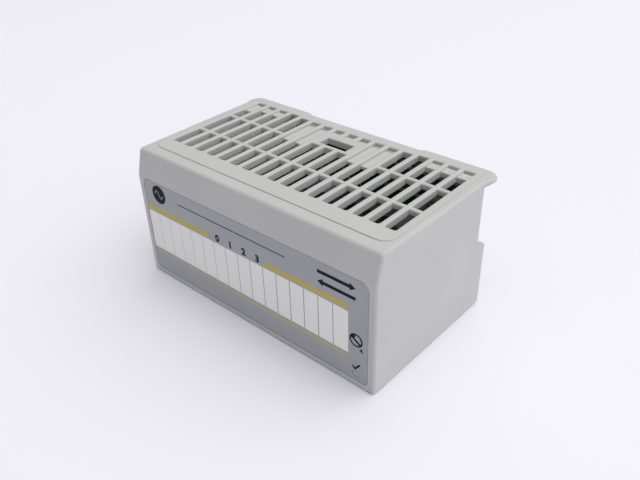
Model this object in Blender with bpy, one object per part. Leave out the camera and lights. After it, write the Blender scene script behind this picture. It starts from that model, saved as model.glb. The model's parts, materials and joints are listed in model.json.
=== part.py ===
"""Plug-in input/output module: vented case, label, two boards and a rear connector.

Metres, +Z up. The label faces -Y, the side that seats on a terminal base faces +Y, and the
module stands on its lower vent panel at z = 0.
"""
import math

import bmesh
import bpy
from mathutils import Matrix, Vector

MM = 0.001

# Case
BODY_WIDTH = 94.0 * MM
BODY_DEPTH = 55.25 * MM
BODY_HEIGHT = 44.2 * MM
WALL = 2.0 * MM
FIT = 0.3 * MM
BAND_HEIGHT = 8.4 * MM
BAND_LEAN = 2.2 * MM
BAND_FOLD_RADIUS = 3.0 * MM
TOP_FRONT_RADIUS = 1.5 * MM
BOTTOM_FRONT_RADIUS = 1.3 * MM
SIDE_EDGE_RADIUS = 1.1 * MM
SIDE_DRAFT = 0.7 * MM

# Stepped rear side
LIP_OVERHANG = 8.05 * MM
FOOT_SETBACK = 3.45 * MM
SHOULDER_BELOW_TOP = 19.8 * MM
SHOULDER_DROP = 2.3 * MM
SHOULDER_RADIUS = 1.6 * MM
LIP_SIDE_REACH = 0.9 * MM
LIP_CORNER_RADIUS = 3.0 * MM
LIP_EDGE_RADIUS = 1.7 * MM
LIP_THICKNESS = 2.0 * MM
FIELD_REAR_MARGIN = 3.45 * MM
LIP_NOTCH_WIDTH = 44.6 * MM
LIP_NOTCH_DEPTH = 0.95 * MM

# Vent panels and the rims that carry them
PANEL_THICKNESS = 2.1 * MM
PANEL_STEP = 0.25 * MM
PANEL_CORNER_RADIUS = 4.0 * MM
RIM_WIDTH = 2.7 * MM
RIM_FRONT = 6.5 * MM
LEDGE_WIDTH = 1.6 * MM
LEDGE_THICKNESS = 1.6 * MM
VENT_PITCH = 5.08 * MM
SLOT_WIDTH = 3.35 * MM
SLOT_END_RADIUS = 0.6 * MM
VENT_SIDE_MARGIN = 1.8 * MM
VENT_FRONT_MARGIN = 5.7 * MM
VENT_LIP_MARGIN = 6.0 * MM
VENT_CORNER_GAIN = 0.8 * MM
VENT_FOOT_MARGIN = 4.75 * MM
FRONT_ROW_LENGTH = 10.65 * MM
MIDDLE_ROW_LENGTH = 11.65 * MM
CROSSBAR = 1.55 * MM
POCKET_DEPTH = 0.45 * MM
TROUGH_DEPTH = 1.6 * MM
TROUGH_LENGTH = 1.5 * MM
POCKET_INSET = 0.1 * MM
POCKET_LAP = 0.5 * MM
CORNER_POCKET_LENGTH = 4.1 * MM
PLATE_POCKET_LENGTH = 3.0 * MM
CHANNEL_LEAD = 0.7 * MM
PLATE_STEPS = 1
CHANNEL_STEPS = 3
OPEN_STEPS = 5
LATCH_WIDTH = 10.2 * MM
LATCH_LENGTH = 4.2 * MM
LATCH_SETBACK = 1.1 * MM

# Label in the front wall
LABEL_SIDE_MARGIN = 3.05 * MM
LABEL_TOP_MARGIN = 0.3 * MM
LABEL_BOTTOM = 1.7 * MM
LABEL_TOP_RADIUS = 2.6 * MM
LABEL_BOTTOM_RADIUS = 1.5 * MM
LABEL_RECESS = 0.8 * MM
LABEL_SINK = 0.1 * MM
LABEL_THICKNESS = 0.4 * MM
STRIP_BELOW_TOP = 20.0 * MM
STRIP_HEIGHT = 13.9 * MM
STRIP_LEFT_MARGIN = 0.4 * MM
STRIP_RIGHT_MARGIN = 6.55 * MM

# Status light
LIGHT_SIDE_MARGIN = 4.05 * MM
LENS_WIDTH = 2.2 * MM
LENS_HEIGHT = 1.5 * MM
LENS_RISE = 2.5 * MM
ROD_RADIUS = 0.9 * MM
ROD_RISE = 1.2 * MM
LED_WIDTH = 2.0 * MM
LED_HEIGHT = 1.4 * MM
LED_DEPTH = 1.2 * MM

# Rear cover
COVER_THICKNESS = 2.0 * MM
COVER_INSET = 0.3 * MM
SCREW_RADIUS = 1.25 * MM
SCREW_HEAD_RADIUS = 2.3 * MM
SCREW_HEAD_HEIGHT = 1.5 * MM
SCREW_REACH = 6.0 * MM
WELL_WALL = 0.8 * MM
BOSS_RADIUS = 2.6 * MM
BOSS_LENGTH = 10.0 * MM
BOSS_RIB = 1.6 * MM
LOWER_BOSS_RISE = 10.5 * MM
UPPER_BOSS_DROP = 9.2 * MM
GUIDE_BAR_HEIGHT = 2.4 * MM
GUIDE_BAR_DEPTH = 1.6 * MM
GUIDE_BAR_RISE = 2.4 * MM
GUIDE_BAR_GAP = 1.5 * MM

# Boards
BOARD_THICKNESS = 1.6 * MM
BOARD_SIDE_GAP = 1.5 * MM
BOARD_END_GAP = 0.6 * MM
BOARD_NOTCH_GAP = 0.7 * MM
BOARD_TO_COVER = 7.3 * MM
BOARD_SPACING = 16.4 * MM
POST_RADIUS = 2.5 * MM
POST_SIDE_MARGIN = 7.5 * MM
POST_END_MARGIN = 3.6 * MM
STUD_LENGTH = 4.0 * MM
SPACER_RADIUS = 2.6 * MM

# Connector to the terminal base
PIN_PITCH = 2.54 * MM
PIN_ROWS = 2
PIN_WIDTH = 0.64 * MM
PIN_LENGTH = 3.8 * MM
CONTACT_WAFER = 0.8 * MM
SHROUD_WALL = 1.3 * MM
SHROUD_MARGIN = 2.2 * MM
SHROUD_HEIGHT = 11.0 * MM
SHROUD_DEPTH = 9.4 * MM
SHROUD_CLEARANCE = 1.2 * MM

# Keying socket
KEY_RADIUS = 3.4 * MM
KEY_WALL = 1.1 * MM
KEY_DEPTH = 6.0 * MM
KEY_BLADE = 1.2 * MM
KEY_ANGLE = math.radians(45)
KEY_SIDE_MARGIN = 15.0 * MM

# Link between the boards
LINK_COLUMNS = 10
LINK_BASE = 2.5 * MM
LINK_OVERLAP = 5.0 * MM
LINK_WIDTH = 5.1 * MM
LINK_DROP = 8.5 * MM

# Pieces on the rear board
CORE_WIDTH = 15.0 * MM
CORE_HEIGHT = 13.0 * MM
CORE_DEPTH = 5.0 * MM
CORE_LEG = 3.2 * MM
CORE_STANDOFF = 2.2 * MM
WINDING_WALL = 2.2 * MM
POWER_ROW_RISE = 6.5 * MM
CAPACITOR_RADIUS = 4.0 * MM
CAPACITOR_LENGTH = 11.0 * MM
CAPACITOR_GAP = 1.2 * MM
CAPACITOR_BEVEL = 0.5 * MM
DIODE_RADIUS = 1.3 * MM
DIODE_LENGTH = 5.2 * MM
DIODE_PITCH = 3.6 * MM
DIODE_COUNT = 4
INDUCTOR_RADIUS = 4.4 * MM
INDUCTOR_HEIGHT = 7.0 * MM
INDUCTOR_FLANGE = 1.2 * MM
INDUCTOR_GROOVE = 0.8 * MM
FUSE_RADIUS = 4.2 * MM
FUSE_HEIGHT = 7.6 * MM

# Pieces on the front board
PROCESSOR_SIZE = 16.6 * MM
PROCESSOR_HEIGHT = 3.8 * MM
CONVERTER_LENGTH = 15.4 * MM
CONVERTER_WIDTH = 7.5 * MM
CONVERTER_HEIGHT = 2.4 * MM
CRYSTAL_LENGTH = 11.0 * MM
CRYSTAL_WIDTH = 4.6 * MM
CRYSTAL_HEIGHT = 3.5 * MM
NETWORK_LENGTH = 17.8 * MM
NETWORK_WIDTH = 2.5 * MM
NETWORK_HEIGHT = 5.0 * MM
OPTOCOUPLER_COUNT = 4
OPTOCOUPLER_LENGTH = 7.2 * MM
OPTOCOUPLER_WIDTH = 6.4 * MM
OPTOCOUPLER_HEIGHT = 3.5 * MM
FILM_LENGTH = 7.2 * MM
FILM_WIDTH = 2.6 * MM
FILM_HEIGHT = 6.4 * MM
CHIP_BEVEL = 0.3 * MM
SIGNAL_ROW_RISE = 5.5 * MM
ISOLATION_ROW_DROP = 8.5 * MM

# Facets
ARC_STEP = math.radians(20)
ROUND_SIDES = 20
SMALL_ROUND_SIDES = 12
HEXAGON_SIDES = 6
EDGE_SEGMENTS = 4
SLOT_SEGMENTS = 3
RIM_SEGMENTS = 2
CHAMFER_SEGMENTS = 1
THROUGH = 3.0 * MM
WELD = 0.001 * MM
FLAT_ANGLE = math.radians(0.5)
SHARP_ANGLE = math.radians(35)

# Places worked out from the sizes above
HALF_WIDTH = BODY_WIDTH / 2
FRONT_Y = -BODY_DEPTH / 2
LIP_Y = BODY_DEPTH / 2
RIM_TOP = BODY_HEIGHT - PANEL_STEP
RIM_BOTTOM = PANEL_STEP
UPPER_REAR_Y = LIP_Y - LIP_OVERHANG
LOWER_REAR_Y = LIP_Y - FOOT_SETBACK
SHOULDER_TOP = BODY_HEIGHT - SHOULDER_BELOW_TOP
SHOULDER_LOW = SHOULDER_TOP - SHOULDER_DROP
PANEL_HALF = HALF_WIDTH - RIM_WIDTH
PANEL_FRONT = FRONT_Y + RIM_FRONT
SEAT_DEPTH = PANEL_THICKNESS - PANEL_STEP + FIT
CAVITY_HALF = HALF_WIDTH - WALL
CAVITY_FRONT = FRONT_Y + WALL
CAVITY_TOP = RIM_TOP - SEAT_DEPTH - LEDGE_THICKNESS
CAVITY_BOTTOM = RIM_BOTTOM + SEAT_DEPTH + LEDGE_THICKNESS
LABEL_HALF = HALF_WIDTH - LABEL_SIDE_MARGIN
LABEL_TOP = BODY_HEIGHT - BAND_HEIGHT - LABEL_TOP_MARGIN
LABEL_Y = FRONT_Y + LABEL_SINK
STRIP_TOP = BODY_HEIGHT - STRIP_BELOW_TOP
STRIP_LEFT = STRIP_LEFT_MARGIN - LABEL_HALF
STRIP_RIGHT = LABEL_HALF - STRIP_RIGHT_MARGIN
LIGHT_X = LABEL_HALF - LIGHT_SIDE_MARGIN
LENS_Z = LABEL_BOTTOM + LENS_RISE
ROD_Z = LENS_Z + ROD_RISE
UPPER_COVER_Y = UPPER_REAR_Y - COVER_INSET
LOWER_COVER_Y = LOWER_REAR_Y - COVER_INSET
UPPER_INNER_Y = UPPER_COVER_Y - COVER_THICKNESS
LOWER_INNER_Y = LOWER_COVER_Y - COVER_THICKNESS
COVER_HALF = CAVITY_HALF - FIT
COVER_TOP = CAVITY_TOP - FIT
COVER_BOTTOM = CAVITY_BOTTOM + FIT
TONGUE_HALF = PANEL_HALF - LEDGE_WIDTH - FIT
WELL_RADIUS = SCREW_HEAD_RADIUS + FIT
WELL_DEPTH = FIT + SCREW_HEAD_HEIGHT
BOSS_X = COVER_HALF - WELL_WALL - WELL_RADIUS
BOSSES = [
    (side * BOSS_X, inner_y, z)
    for side in (-1, 1)
    for inner_y, z in (
        (LOWER_INNER_Y, CAVITY_BOTTOM + LOWER_BOSS_RISE),
        (UPPER_INNER_Y, CAVITY_TOP - UPPER_BOSS_DROP),
    )
]
REAR_BOARD_BACK = UPPER_INNER_Y - BOARD_TO_COVER
REAR_BOARD_FRONT = REAR_BOARD_BACK - BOARD_THICKNESS
FRONT_BOARD_BACK = REAR_BOARD_FRONT - BOARD_SPACING
FRONT_BOARD_FRONT = FRONT_BOARD_BACK - BOARD_THICKNESS
BOARD_HALF = CAVITY_HALF - BOARD_SIDE_GAP
BOARD_BOTTOM = CAVITY_BOTTOM + BOARD_END_GAP
BOARD_TOP = CAVITY_TOP - BOARD_END_GAP
BOARD_MIDDLE = (BOARD_BOTTOM + BOARD_TOP) / 2
POST_X = BOARD_HALF - POST_SIDE_MARGIN
POST_LOW = BOARD_BOTTOM + POST_END_MARGIN
POST_HIGH = BOARD_TOP - POST_END_MARGIN
POSTS = [(side * POST_X, z) for side in (-1, 1) for z in (POST_LOW, POST_HIGH)]
LED_Z = ROD_Z

# Local axes of an outline: along the case, across the case, and lying flat
SIDE_PROFILE = Matrix(((0, 0, 1, 0), (1, 0, 0, 0), (0, 1, 0, 0), (0, 0, 0, 1)))
FRONT_FACING = Matrix(((1, 0, 0, 0), (0, 0, -1, 0), (0, 1, 0, 0), (0, 0, 0, 1)))
LYING_FLAT = Matrix.Identity(4)


def clear_scene():
    for item in list(bpy.data.objects):
        bpy.data.objects.remove(item)


def make_collection(name):
    group = bpy.data.collections.new(name)
    bpy.context.scene.collection.children.link(group)
    return group


def make_material(name, colour, roughness, metallic=0.0):
    material = bpy.data.materials.new(name)
    material.use_nodes = True
    shader = material.node_tree.nodes["Principled BSDF"]
    shader.inputs["Base Color"].default_value = (*colour, 1.0)
    shader.inputs["Roughness"].default_value = roughness
    shader.inputs["Metallic"].default_value = metallic
    return material


def corner_points(before, corner, after, radius):
    """Points of one outline corner, an arc where it has a radius."""
    if radius == 0:
        return [corner]
    back = (before - corner).normalized()
    ahead = (after - corner).normalized()
    opening = back.angle(ahead)
    middle = corner + (back + ahead).normalized() * radius / math.sin(opening / 2)
    reach = radius / math.tan(opening / 2)
    first = corner + back * reach - middle
    sweep = first.angle_signed(corner + ahead * reach - middle)
    count = max(1, math.ceil(abs(sweep) / ARC_STEP))
    return [middle + Matrix.Rotation(-sweep * step / count, 2) @ first for step in range(count + 1)]


def outline_points(corners):
    """Points of a closed outline from (u, v, radius) corners."""
    places = [Vector((u, v)) for u, v, _ in corners]
    points = []
    for index, (_, _, radius) in enumerate(corners):
        after = places[(index + 1) % len(places)]
        points += corner_points(places[index - 1], places[index], after, radius)
    return points


def rectangle(left, right, low, high, radii=(0, 0, 0, 0)):
    """Corners of an upright rectangle, with radii from the lower left corner round to the upper left."""
    places = ((left, low), (right, low), (right, high), (left, high))
    return [(u, v, radius) for (u, v), radius in zip(places, radii)]


def outline_bmesh(corners, start, end, axes):
    """Closed bmesh of an outline, extruded from start to end along the third of its axes."""
    curve = bpy.data.curves.new("outline", "CURVE")
    curve.dimensions = "2D"
    curve.fill_mode = "BOTH"
    curve.extrude = abs(end - start) / 2
    points = outline_points(corners)
    spline = curve.splines.new("POLY")
    spline.points.add(len(points) - 1)
    for point, place in zip(spline.points, points):
        point.co = (place.x, place.y, 0, 1)
    spline.use_cyclic_u = True
    drawn = bpy.data.objects.new("outline", curve)
    bpy.context.scene.collection.objects.link(drawn)
    depsgraph = bpy.context.evaluated_depsgraph_get()
    mesh = bpy.data.meshes.new_from_object(drawn.evaluated_get(depsgraph))
    mesh.transform(axes @ Matrix.Translation((0, 0, (start + end) / 2)))
    bpy.data.objects.remove(drawn)
    bpy.data.curves.remove(curve)
    bm = bmesh.new()
    bm.from_mesh(mesh)
    bpy.data.meshes.remove(mesh)
    bmesh.ops.remove_doubles(bm, verts=bm.verts, dist=WELD)
    bmesh.ops.dissolve_limit(bm, angle_limit=FLAT_ANGLE, verts=bm.verts, edges=bm.edges)
    bmesh.ops.recalc_face_normals(bm, faces=bm.faces)
    return bm


def add_box(bm, low, high):
    """Add a box between two corners and return its vertices."""
    low = Vector(low)
    size = Vector(high) - low
    place = Matrix.Translation(low + size / 2) @ Matrix.Diagonal((*size, 1))
    return bmesh.ops.create_cube(bm, size=1, matrix=place)["verts"]


def add_cylinder(bm, start, end, radius, sides=ROUND_SIDES):
    """Add a capped cylinder from start to end and return its vertices."""
    start = Vector(start)
    along = Vector(end) - start
    turn = along.to_track_quat("Z", "Y").to_matrix().to_4x4()
    place = Matrix.Translation(start + along / 2) @ turn
    made = bmesh.ops.create_cone(
        bm, cap_ends=True, segments=sides, radius1=radius, radius2=radius, depth=along.length, matrix=place
    )
    return made["verts"]


def bevel(bm, edges, width, segments=EDGE_SEGMENTS):
    bmesh.ops.bevel(
        bm, geom=edges, offset=width, offset_type="OFFSET", segments=segments, profile=0.5, affect="EDGES",
        material=-1,
    )


def make_object(name, bm, group):
    mesh = bpy.data.meshes.new(name)
    bm.to_mesh(mesh)
    bm.free()
    made = bpy.data.objects.new(name, mesh)
    group.objects.link(made)
    return made


def make_tool(name, bm):
    """A cutter, or a shape that a Boolean joins to a piece."""
    tool = make_object(name, bm, TOOLS)
    tool.hide_render = True
    tool.display_type = "WIRE"
    return tool


def make_part(name, bm, material, carrier):
    part = make_object(name, bm, PARTS)
    part.data.materials.append(material)
    part.data.shade_smooth()
    part.data.set_sharp_from_angle(angle=SHARP_ANGLE)
    part.parent = carrier
    return part


def boolean(target, tool, operation="DIFFERENCE"):
    modifier = target.modifiers.new(tool.name, "BOOLEAN")
    modifier.operation = operation
    modifier.solver = "EXACT"
    modifier.object = tool


def make_carrier(name):
    """Empty that a body's pieces hang from. The slide runs along Y, through the origin."""
    carrier = bpy.data.objects.new(name, None)
    PARTS.objects.link(carrier)
    return carrier


def hood_profile():
    return [
        (FRONT_Y, RIM_BOTTOM, BOTTOM_FRONT_RADIUS),
        (LOWER_REAR_Y, RIM_BOTTOM, 0),
        (LOWER_REAR_Y, SHOULDER_LOW, SHOULDER_RADIUS),
        (UPPER_REAR_Y, SHOULDER_TOP, 0),
        (UPPER_REAR_Y, RIM_TOP, 0),
        (FRONT_Y + BAND_LEAN, RIM_TOP, TOP_FRONT_RADIUS),
        (FRONT_Y, BODY_HEIGHT - BAND_HEIGHT, BAND_FOLD_RADIUS),
    ]


def cavity_profile():
    """Inside of the hood, with a front that follows the sloping band, open to the rear."""
    lean = BAND_LEAN * (CAVITY_TOP - BODY_HEIGHT + BAND_HEIGHT) / (BAND_HEIGHT - PANEL_STEP)
    return [
        (CAVITY_FRONT, CAVITY_BOTTOM, 0),
        (LIP_Y + THROUGH, CAVITY_BOTTOM, 0),
        (LIP_Y + THROUGH, CAVITY_TOP, 0),
        (CAVITY_FRONT + lean, CAVITY_TOP, 0),
        (CAVITY_FRONT, BODY_HEIGHT - BAND_HEIGHT, 0),
    ]


def rim_opening(grow):
    """Plan of the opening for a vent panel, larger than the panel by grow, open to the rear."""
    half = PANEL_HALF + grow
    radius = PANEL_CORNER_RADIUS + grow
    return rectangle(-half, half, PANEL_FRONT - grow, LIP_Y + THROUGH, (radius, radius, 0, 0))


def label_outline(shrink):
    """Outline of the label recess, or of the overlay when it is made smaller by shrink."""
    half = LABEL_HALF - shrink
    bottom = LABEL_BOTTOM_RADIUS - shrink
    top = LABEL_TOP_RADIUS - shrink
    return rectangle(-half, half, LABEL_BOTTOM + shrink, LABEL_TOP - shrink, (bottom, bottom, top, top))


def draw_in_sides(bm):
    """Draft of the side walls, which close in towards the front."""
    for vert in bm.verts:
        inward = SIDE_DRAFT * (UPPER_REAR_Y - vert.co.y) / (UPPER_REAR_Y - FRONT_Y)
        vert.co.x -= math.copysign(inward, vert.co.x)


def make_front_hood(material, carrier):
    bm = outline_bmesh(hood_profile(), -HALF_WIDTH, HALF_WIDTH, SIDE_PROFILE)
    draw_in_sides(bm)
    side_edges = [
        edge
        for edge in bm.edges
        if edge.verts[0].co.x * edge.verts[1].co.x > 0
        and min(vert.co.y for vert in edge.verts) < UPPER_REAR_Y - WELD
    ]
    bevel(bm, side_edges, SIDE_EDGE_RADIUS)
    hood = make_part("front_hood", bm, material, carrier)
    inside = outline_bmesh(cavity_profile(), -CAVITY_HALF, CAVITY_HALF, SIDE_PROFILE)
    draw_in_sides(inside)
    boolean(hood, make_tool("cavity", inside))
    ledge = rim_opening(-LEDGE_WIDTH)
    seat = rim_opening(FIT)
    over = RIM_TOP + THROUGH
    under = RIM_BOTTOM - THROUGH
    boolean(hood, make_tool("top_ledge", outline_bmesh(ledge, CAVITY_TOP - THROUGH, over, LYING_FLAT)))
    boolean(hood, make_tool("top_seat", outline_bmesh(seat, RIM_TOP - SEAT_DEPTH, over, LYING_FLAT)))
    boolean(hood, make_tool("bottom_ledge", outline_bmesh(ledge, under, CAVITY_BOTTOM + THROUGH, LYING_FLAT)))
    boolean(hood, make_tool("bottom_seat", outline_bmesh(seat, under, RIM_BOTTOM + SEAT_DEPTH, LYING_FLAT)))
    recess = outline_bmesh(label_outline(0), -FRONT_Y - LABEL_RECESS, -FRONT_Y + THROUGH, FRONT_FACING)
    boolean(hood, make_tool("label_recess", recess))
    boolean(hood, make_tool("lens_hole", lens_hole()))
    boolean(hood, make_tool("rod_hole", rod_hole()))
    for index, (x, inner_y, z) in enumerate(BOSSES):
        add_boss(hood, index, x, inner_y - WELL_DEPTH - FIT, z)


def add_boss(hood, index, x, end_y, z):
    """Screw boss that a rib joins to the side wall."""
    start_y = end_y - BOSS_LENGTH
    rib = bmesh.new()
    inner, outer = sorted((x, math.copysign(CAVITY_HALF + WALL / 2, x)))
    add_box(rib, (inner, start_y + FIT, z - BOSS_RIB / 2), (outer, end_y - FIT, z + BOSS_RIB / 2))
    boolean(hood, make_tool(f"boss_rib_{index}", rib), "UNION")
    boss = bmesh.new()
    add_cylinder(boss, (x, start_y, z), (x, end_y, z), BOSS_RADIUS)
    boolean(hood, make_tool(f"boss_{index}", boss), "UNION")
    hole = bmesh.new()
    depth = SCREW_REACH + FIT
    add_cylinder(hole, (x, end_y - depth, z), (x, end_y + THROUGH, z), SCREW_RADIUS + FIT, SMALL_ROUND_SIDES)
    boolean(hood, make_tool(f"boss_hole_{index}", hole))


def lens_hole():
    bm = bmesh.new()
    half = LENS_WIDTH / 2 + FIT
    rise = LENS_HEIGHT / 2 + FIT
    low = (LIGHT_X - half, FRONT_Y - THROUGH, LENS_Z - rise)
    add_box(bm, low, (LIGHT_X + half, CAVITY_FRONT, LENS_Z + rise))
    return bm


def rod_hole():
    bm = bmesh.new()
    start = (LIGHT_X, FRONT_Y + LABEL_RECESS, ROD_Z)
    add_cylinder(bm, start, (LIGHT_X, CAVITY_FRONT + THROUGH, ROD_Z), ROD_RADIUS + FIT, SMALL_ROUND_SIDES)
    return bm


def vent_columns():
    """Column places, and each one's number of steps from the middle."""
    steps = int((PANEL_HALF - VENT_SIDE_MARGIN - SLOT_WIDTH / 2) / VENT_PITCH)
    return [(step * VENT_PITCH, abs(step)) for step in range(-steps, steps + 1)]


def vent_rows(rear_end):
    """Front and rear end of each row of slots."""
    front = PANEL_FRONT + VENT_FRONT_MARGIN
    middle = front + FRONT_ROW_LENGTH + CROSSBAR
    rear = middle + MIDDLE_ROW_LENGTH + CROSSBAR
    return [
        (front, front + FRONT_ROW_LENGTH),
        (middle, middle + MIDDLE_ROW_LENGTH),
        (rear, rear_end),
    ]


def add_blind(bm, x, start, end, depth):
    """Blind cut from the top, a touch narrower than the slot that it may open into."""
    half = SLOT_WIDTH / 2 - POCKET_INSET
    add_box(bm, (x - half, start, BODY_HEIGHT - depth), (x + half, end, BODY_HEIGHT + THROUGH))


def add_pocket(pockets, troughs, x, start, end):
    """Shallow pocket with a trough at its rear end."""
    add_blind(pockets, x, start, end, POCKET_DEPTH)
    add_blind(troughs, x, end - TROUGH_LENGTH, end, TROUGH_DEPTH)


def add_slot(bm, x, start, end, low, high, round_front=False):
    half = SLOT_WIDTH / 2
    verts = add_box(bm, (x - half, start, low), (x + half, end, high))
    if round_front:
        upright = [
            edge
            for edge in {edge for vert in verts for edge in vert.link_edges}
            if all(abs(vert.co.y - start) < WELD for vert in edge.verts)
            and abs(edge.verts[0].co.x - edge.verts[1].co.x) < WELD
        ]
        bevel(bm, upright, SLOT_END_RADIUS, SLOT_SEGMENTS)


def top_vent_cutters():
    """Through slots, and the pockets of the rear row, which is closed towards the middle."""
    slots = bmesh.new()
    pockets = bmesh.new()
    troughs = bmesh.new()
    low = BODY_HEIGHT - PANEL_THICKNESS - THROUGH
    high = BODY_HEIGHT + THROUGH
    front, middle, rear = vent_rows(LIP_Y - VENT_LIP_MARGIN)
    latch_front = rear[0] + LATCH_SETBACK
    for x, step in vent_columns():
        end = rear[1] + VENT_CORNER_GAIN if step >= OPEN_STEPS else rear[1]
        add_slot(slots, x, *front, low, high, round_front=True)
        if step <= PLATE_STEPS:
            add_slot(slots, x, middle[0], latch_front - CROSSBAR, low, high)
            add_pocket(pockets, troughs, x, end - PLATE_POCKET_LENGTH, end)
        elif step <= CHANNEL_STEPS:
            channel = middle[1] - CHANNEL_LEAD
            add_slot(slots, x, middle[0], channel, low, high)
            add_pocket(pockets, troughs, x, channel - POCKET_LAP, end)
        elif step <= OPEN_STEPS:
            add_slot(slots, x, *middle, low, high)
            add_slot(slots, x, rear[0], UPPER_COVER_Y, low, high)
            add_blind(troughs, x, UPPER_COVER_Y - POCKET_LAP, end, TROUGH_DEPTH)
        else:
            add_slot(slots, x, *middle, low, high)
            pocket = end - CORNER_POCKET_LENGTH
            add_slot(slots, x, rear[0], pocket, low, high)
            add_pocket(pockets, troughs, x, pocket - POCKET_LAP, end)
    half = LATCH_WIDTH / 2
    add_box(slots, (-half, latch_front, low), (half, latch_front + LATCH_LENGTH, high))
    return slots, pockets, troughs


def make_top_vent_panel(material, carrier):
    """Vent field that stands a step above the rims, joined to the lip that overhangs the rear side."""
    low = BODY_HEIGHT - PANEL_THICKNESS
    lip_start = UPPER_REAR_Y + FIT
    field_end = LIP_Y - FIELD_REAR_MARGIN
    corner = PANEL_CORNER_RADIUS
    field = rectangle(-PANEL_HALF, PANEL_HALF, PANEL_FRONT, field_end, (corner, corner, 0, 0))
    panel = make_part("top_vent_panel", outline_bmesh(field, low, BODY_HEIGHT, LYING_FLAT), material, carrier)
    corner = LIP_CORNER_RADIUS
    half = HALF_WIDTH + LIP_SIDE_REACH
    plan = rectangle(-half, half, lip_start, LIP_Y, (0, 0, corner, corner))
    lip = outline_bmesh(plan, RIM_TOP - LIP_THICKNESS, RIM_TOP, LYING_FLAT)
    outer_edges = [
        edge
        for edge in lip.edges
        if all(vert.co.z > RIM_TOP - WELD for vert in edge.verts)
        and max(vert.co.y for vert in edge.verts) > lip_start + WELD
    ]
    bevel(lip, outer_edges, LIP_EDGE_RADIUS)
    boolean(panel, make_tool("rear_lip", lip), "UNION")
    notch = bmesh.new()
    half = LIP_NOTCH_WIDTH / 2
    under = RIM_TOP - LIP_THICKNESS - THROUGH
    over = BODY_HEIGHT + THROUGH
    add_box(notch, (-half, LIP_Y - LIP_NOTCH_DEPTH, under), (half, LIP_Y + THROUGH, over))
    boolean(panel, make_tool("lip_notch", notch))
    slots, pockets, troughs = top_vent_cutters()
    boolean(panel, make_tool("top_slots", slots))
    boolean(panel, make_tool("top_pockets", pockets))
    boolean(panel, make_tool("top_troughs", troughs))


def make_bottom_vent_panel(material, carrier):
    corner = PANEL_CORNER_RADIUS
    plan = rectangle(-PANEL_HALF, PANEL_HALF, PANEL_FRONT, LOWER_COVER_Y, (corner, corner, 0, 0))
    sheet = outline_bmesh(plan, 0, PANEL_THICKNESS, LYING_FLAT)
    panel = make_part("bottom_vent_panel", sheet, material, carrier)
    slots = bmesh.new()
    for x, _ in vent_columns():
        for index, row in enumerate(vent_rows(LOWER_COVER_Y - VENT_FOOT_MARGIN)):
            add_slot(slots, x, *row, -THROUGH, PANEL_THICKNESS + THROUGH, round_front=index == 0)
    boolean(panel, make_tool("bottom_slots", slots))


def front_sheet(corners, material, carrier, name):
    """A thin sheet in the label recess."""
    bm = outline_bmesh(corners, -LABEL_Y - LABEL_THICKNESS, -LABEL_Y, FRONT_FACING)
    return make_part(name, bm, material, carrier)


def make_label(film, card, carrier):
    overlay = front_sheet(label_outline(FIT), film, carrier, "label_overlay")
    window = bmesh.new()
    low = (STRIP_LEFT - FIT, FRONT_Y - THROUGH, STRIP_TOP - STRIP_HEIGHT - FIT)
    add_box(window, low, (STRIP_RIGHT + FIT, CAVITY_FRONT, STRIP_TOP + FIT))
    boolean(overlay, make_tool("strip_window", window))
    boolean(overlay, make_tool("lens_window", lens_hole()))
    strip = rectangle(STRIP_LEFT, STRIP_RIGHT, STRIP_TOP - STRIP_HEIGHT, STRIP_TOP)
    front_sheet(strip, card, carrier, "write_on_strip")


def make_light_pipe(material, carrier):
    bm = bmesh.new()
    half = LENS_WIDTH / 2
    rise = LENS_HEIGHT / 2
    back = CAVITY_FRONT - FIT
    add_box(bm, (LIGHT_X - half, LABEL_Y, LENS_Z - rise), (LIGHT_X + half, back, LENS_Z + rise))
    pipe = make_part("light_pipe", bm, material, carrier)
    rod = bmesh.new()
    end = FRONT_BOARD_FRONT - FIT - LED_DEPTH - FIT
    start = FRONT_Y + LABEL_RECESS + FIT
    add_cylinder(rod, (LIGHT_X, start, ROD_Z), (LIGHT_X, end, ROD_Z), ROD_RADIUS, SMALL_ROUND_SIDES)
    boolean(pipe, make_tool("light_rod", rod), "UNION")


def cover_profile():
    """Stepped plate of even thickness that follows the rear ends of the side walls."""
    slope = math.atan2(SHOULDER_DROP, LOWER_COVER_Y - UPPER_COVER_Y)
    shift = COVER_THICKNESS * math.tan((math.pi / 2 - slope) / 2)
    return [
        (LOWER_INNER_Y, COVER_BOTTOM, 0),
        (LOWER_COVER_Y, COVER_BOTTOM, 0),
        (LOWER_COVER_Y, SHOULDER_LOW, SHOULDER_RADIUS),
        (UPPER_COVER_Y, SHOULDER_TOP, 0),
        (UPPER_COVER_Y, COVER_TOP, 0),
        (UPPER_INNER_Y, COVER_TOP, 0),
        (UPPER_INNER_Y, SHOULDER_TOP - shift, 0),
        (LOWER_INNER_Y, SHOULDER_LOW - shift, 0),
    ]


def shroud_box():
    """Lowest and highest corner of the connector shroud."""
    span = 2 * (POST_X - POST_RADIUS - SHROUD_CLEARANCE - SHROUD_WALL - SHROUD_MARGIN)
    columns = int(span / PIN_PITCH) + 1
    half = (columns - 1) * PIN_PITCH / 2 + SHROUD_MARGIN + SHROUD_WALL
    middle = (COVER_BOTTOM + SHOULDER_LOW) / 2
    low = Vector((-half, REAR_BOARD_BACK + FIT, middle - SHROUD_HEIGHT / 2))
    high = Vector((half, LOWER_COVER_Y, middle + SHROUD_HEIGHT / 2))
    return low, high, columns


def key_place():
    """Middle of the keying socket's mouth on the upper part of the cover."""
    x = POST_X - KEY_SIDE_MARGIN + KEY_RADIUS
    return Vector((x, UPPER_COVER_Y, POST_HIGH - POST_RADIUS - KEY_RADIUS))


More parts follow.
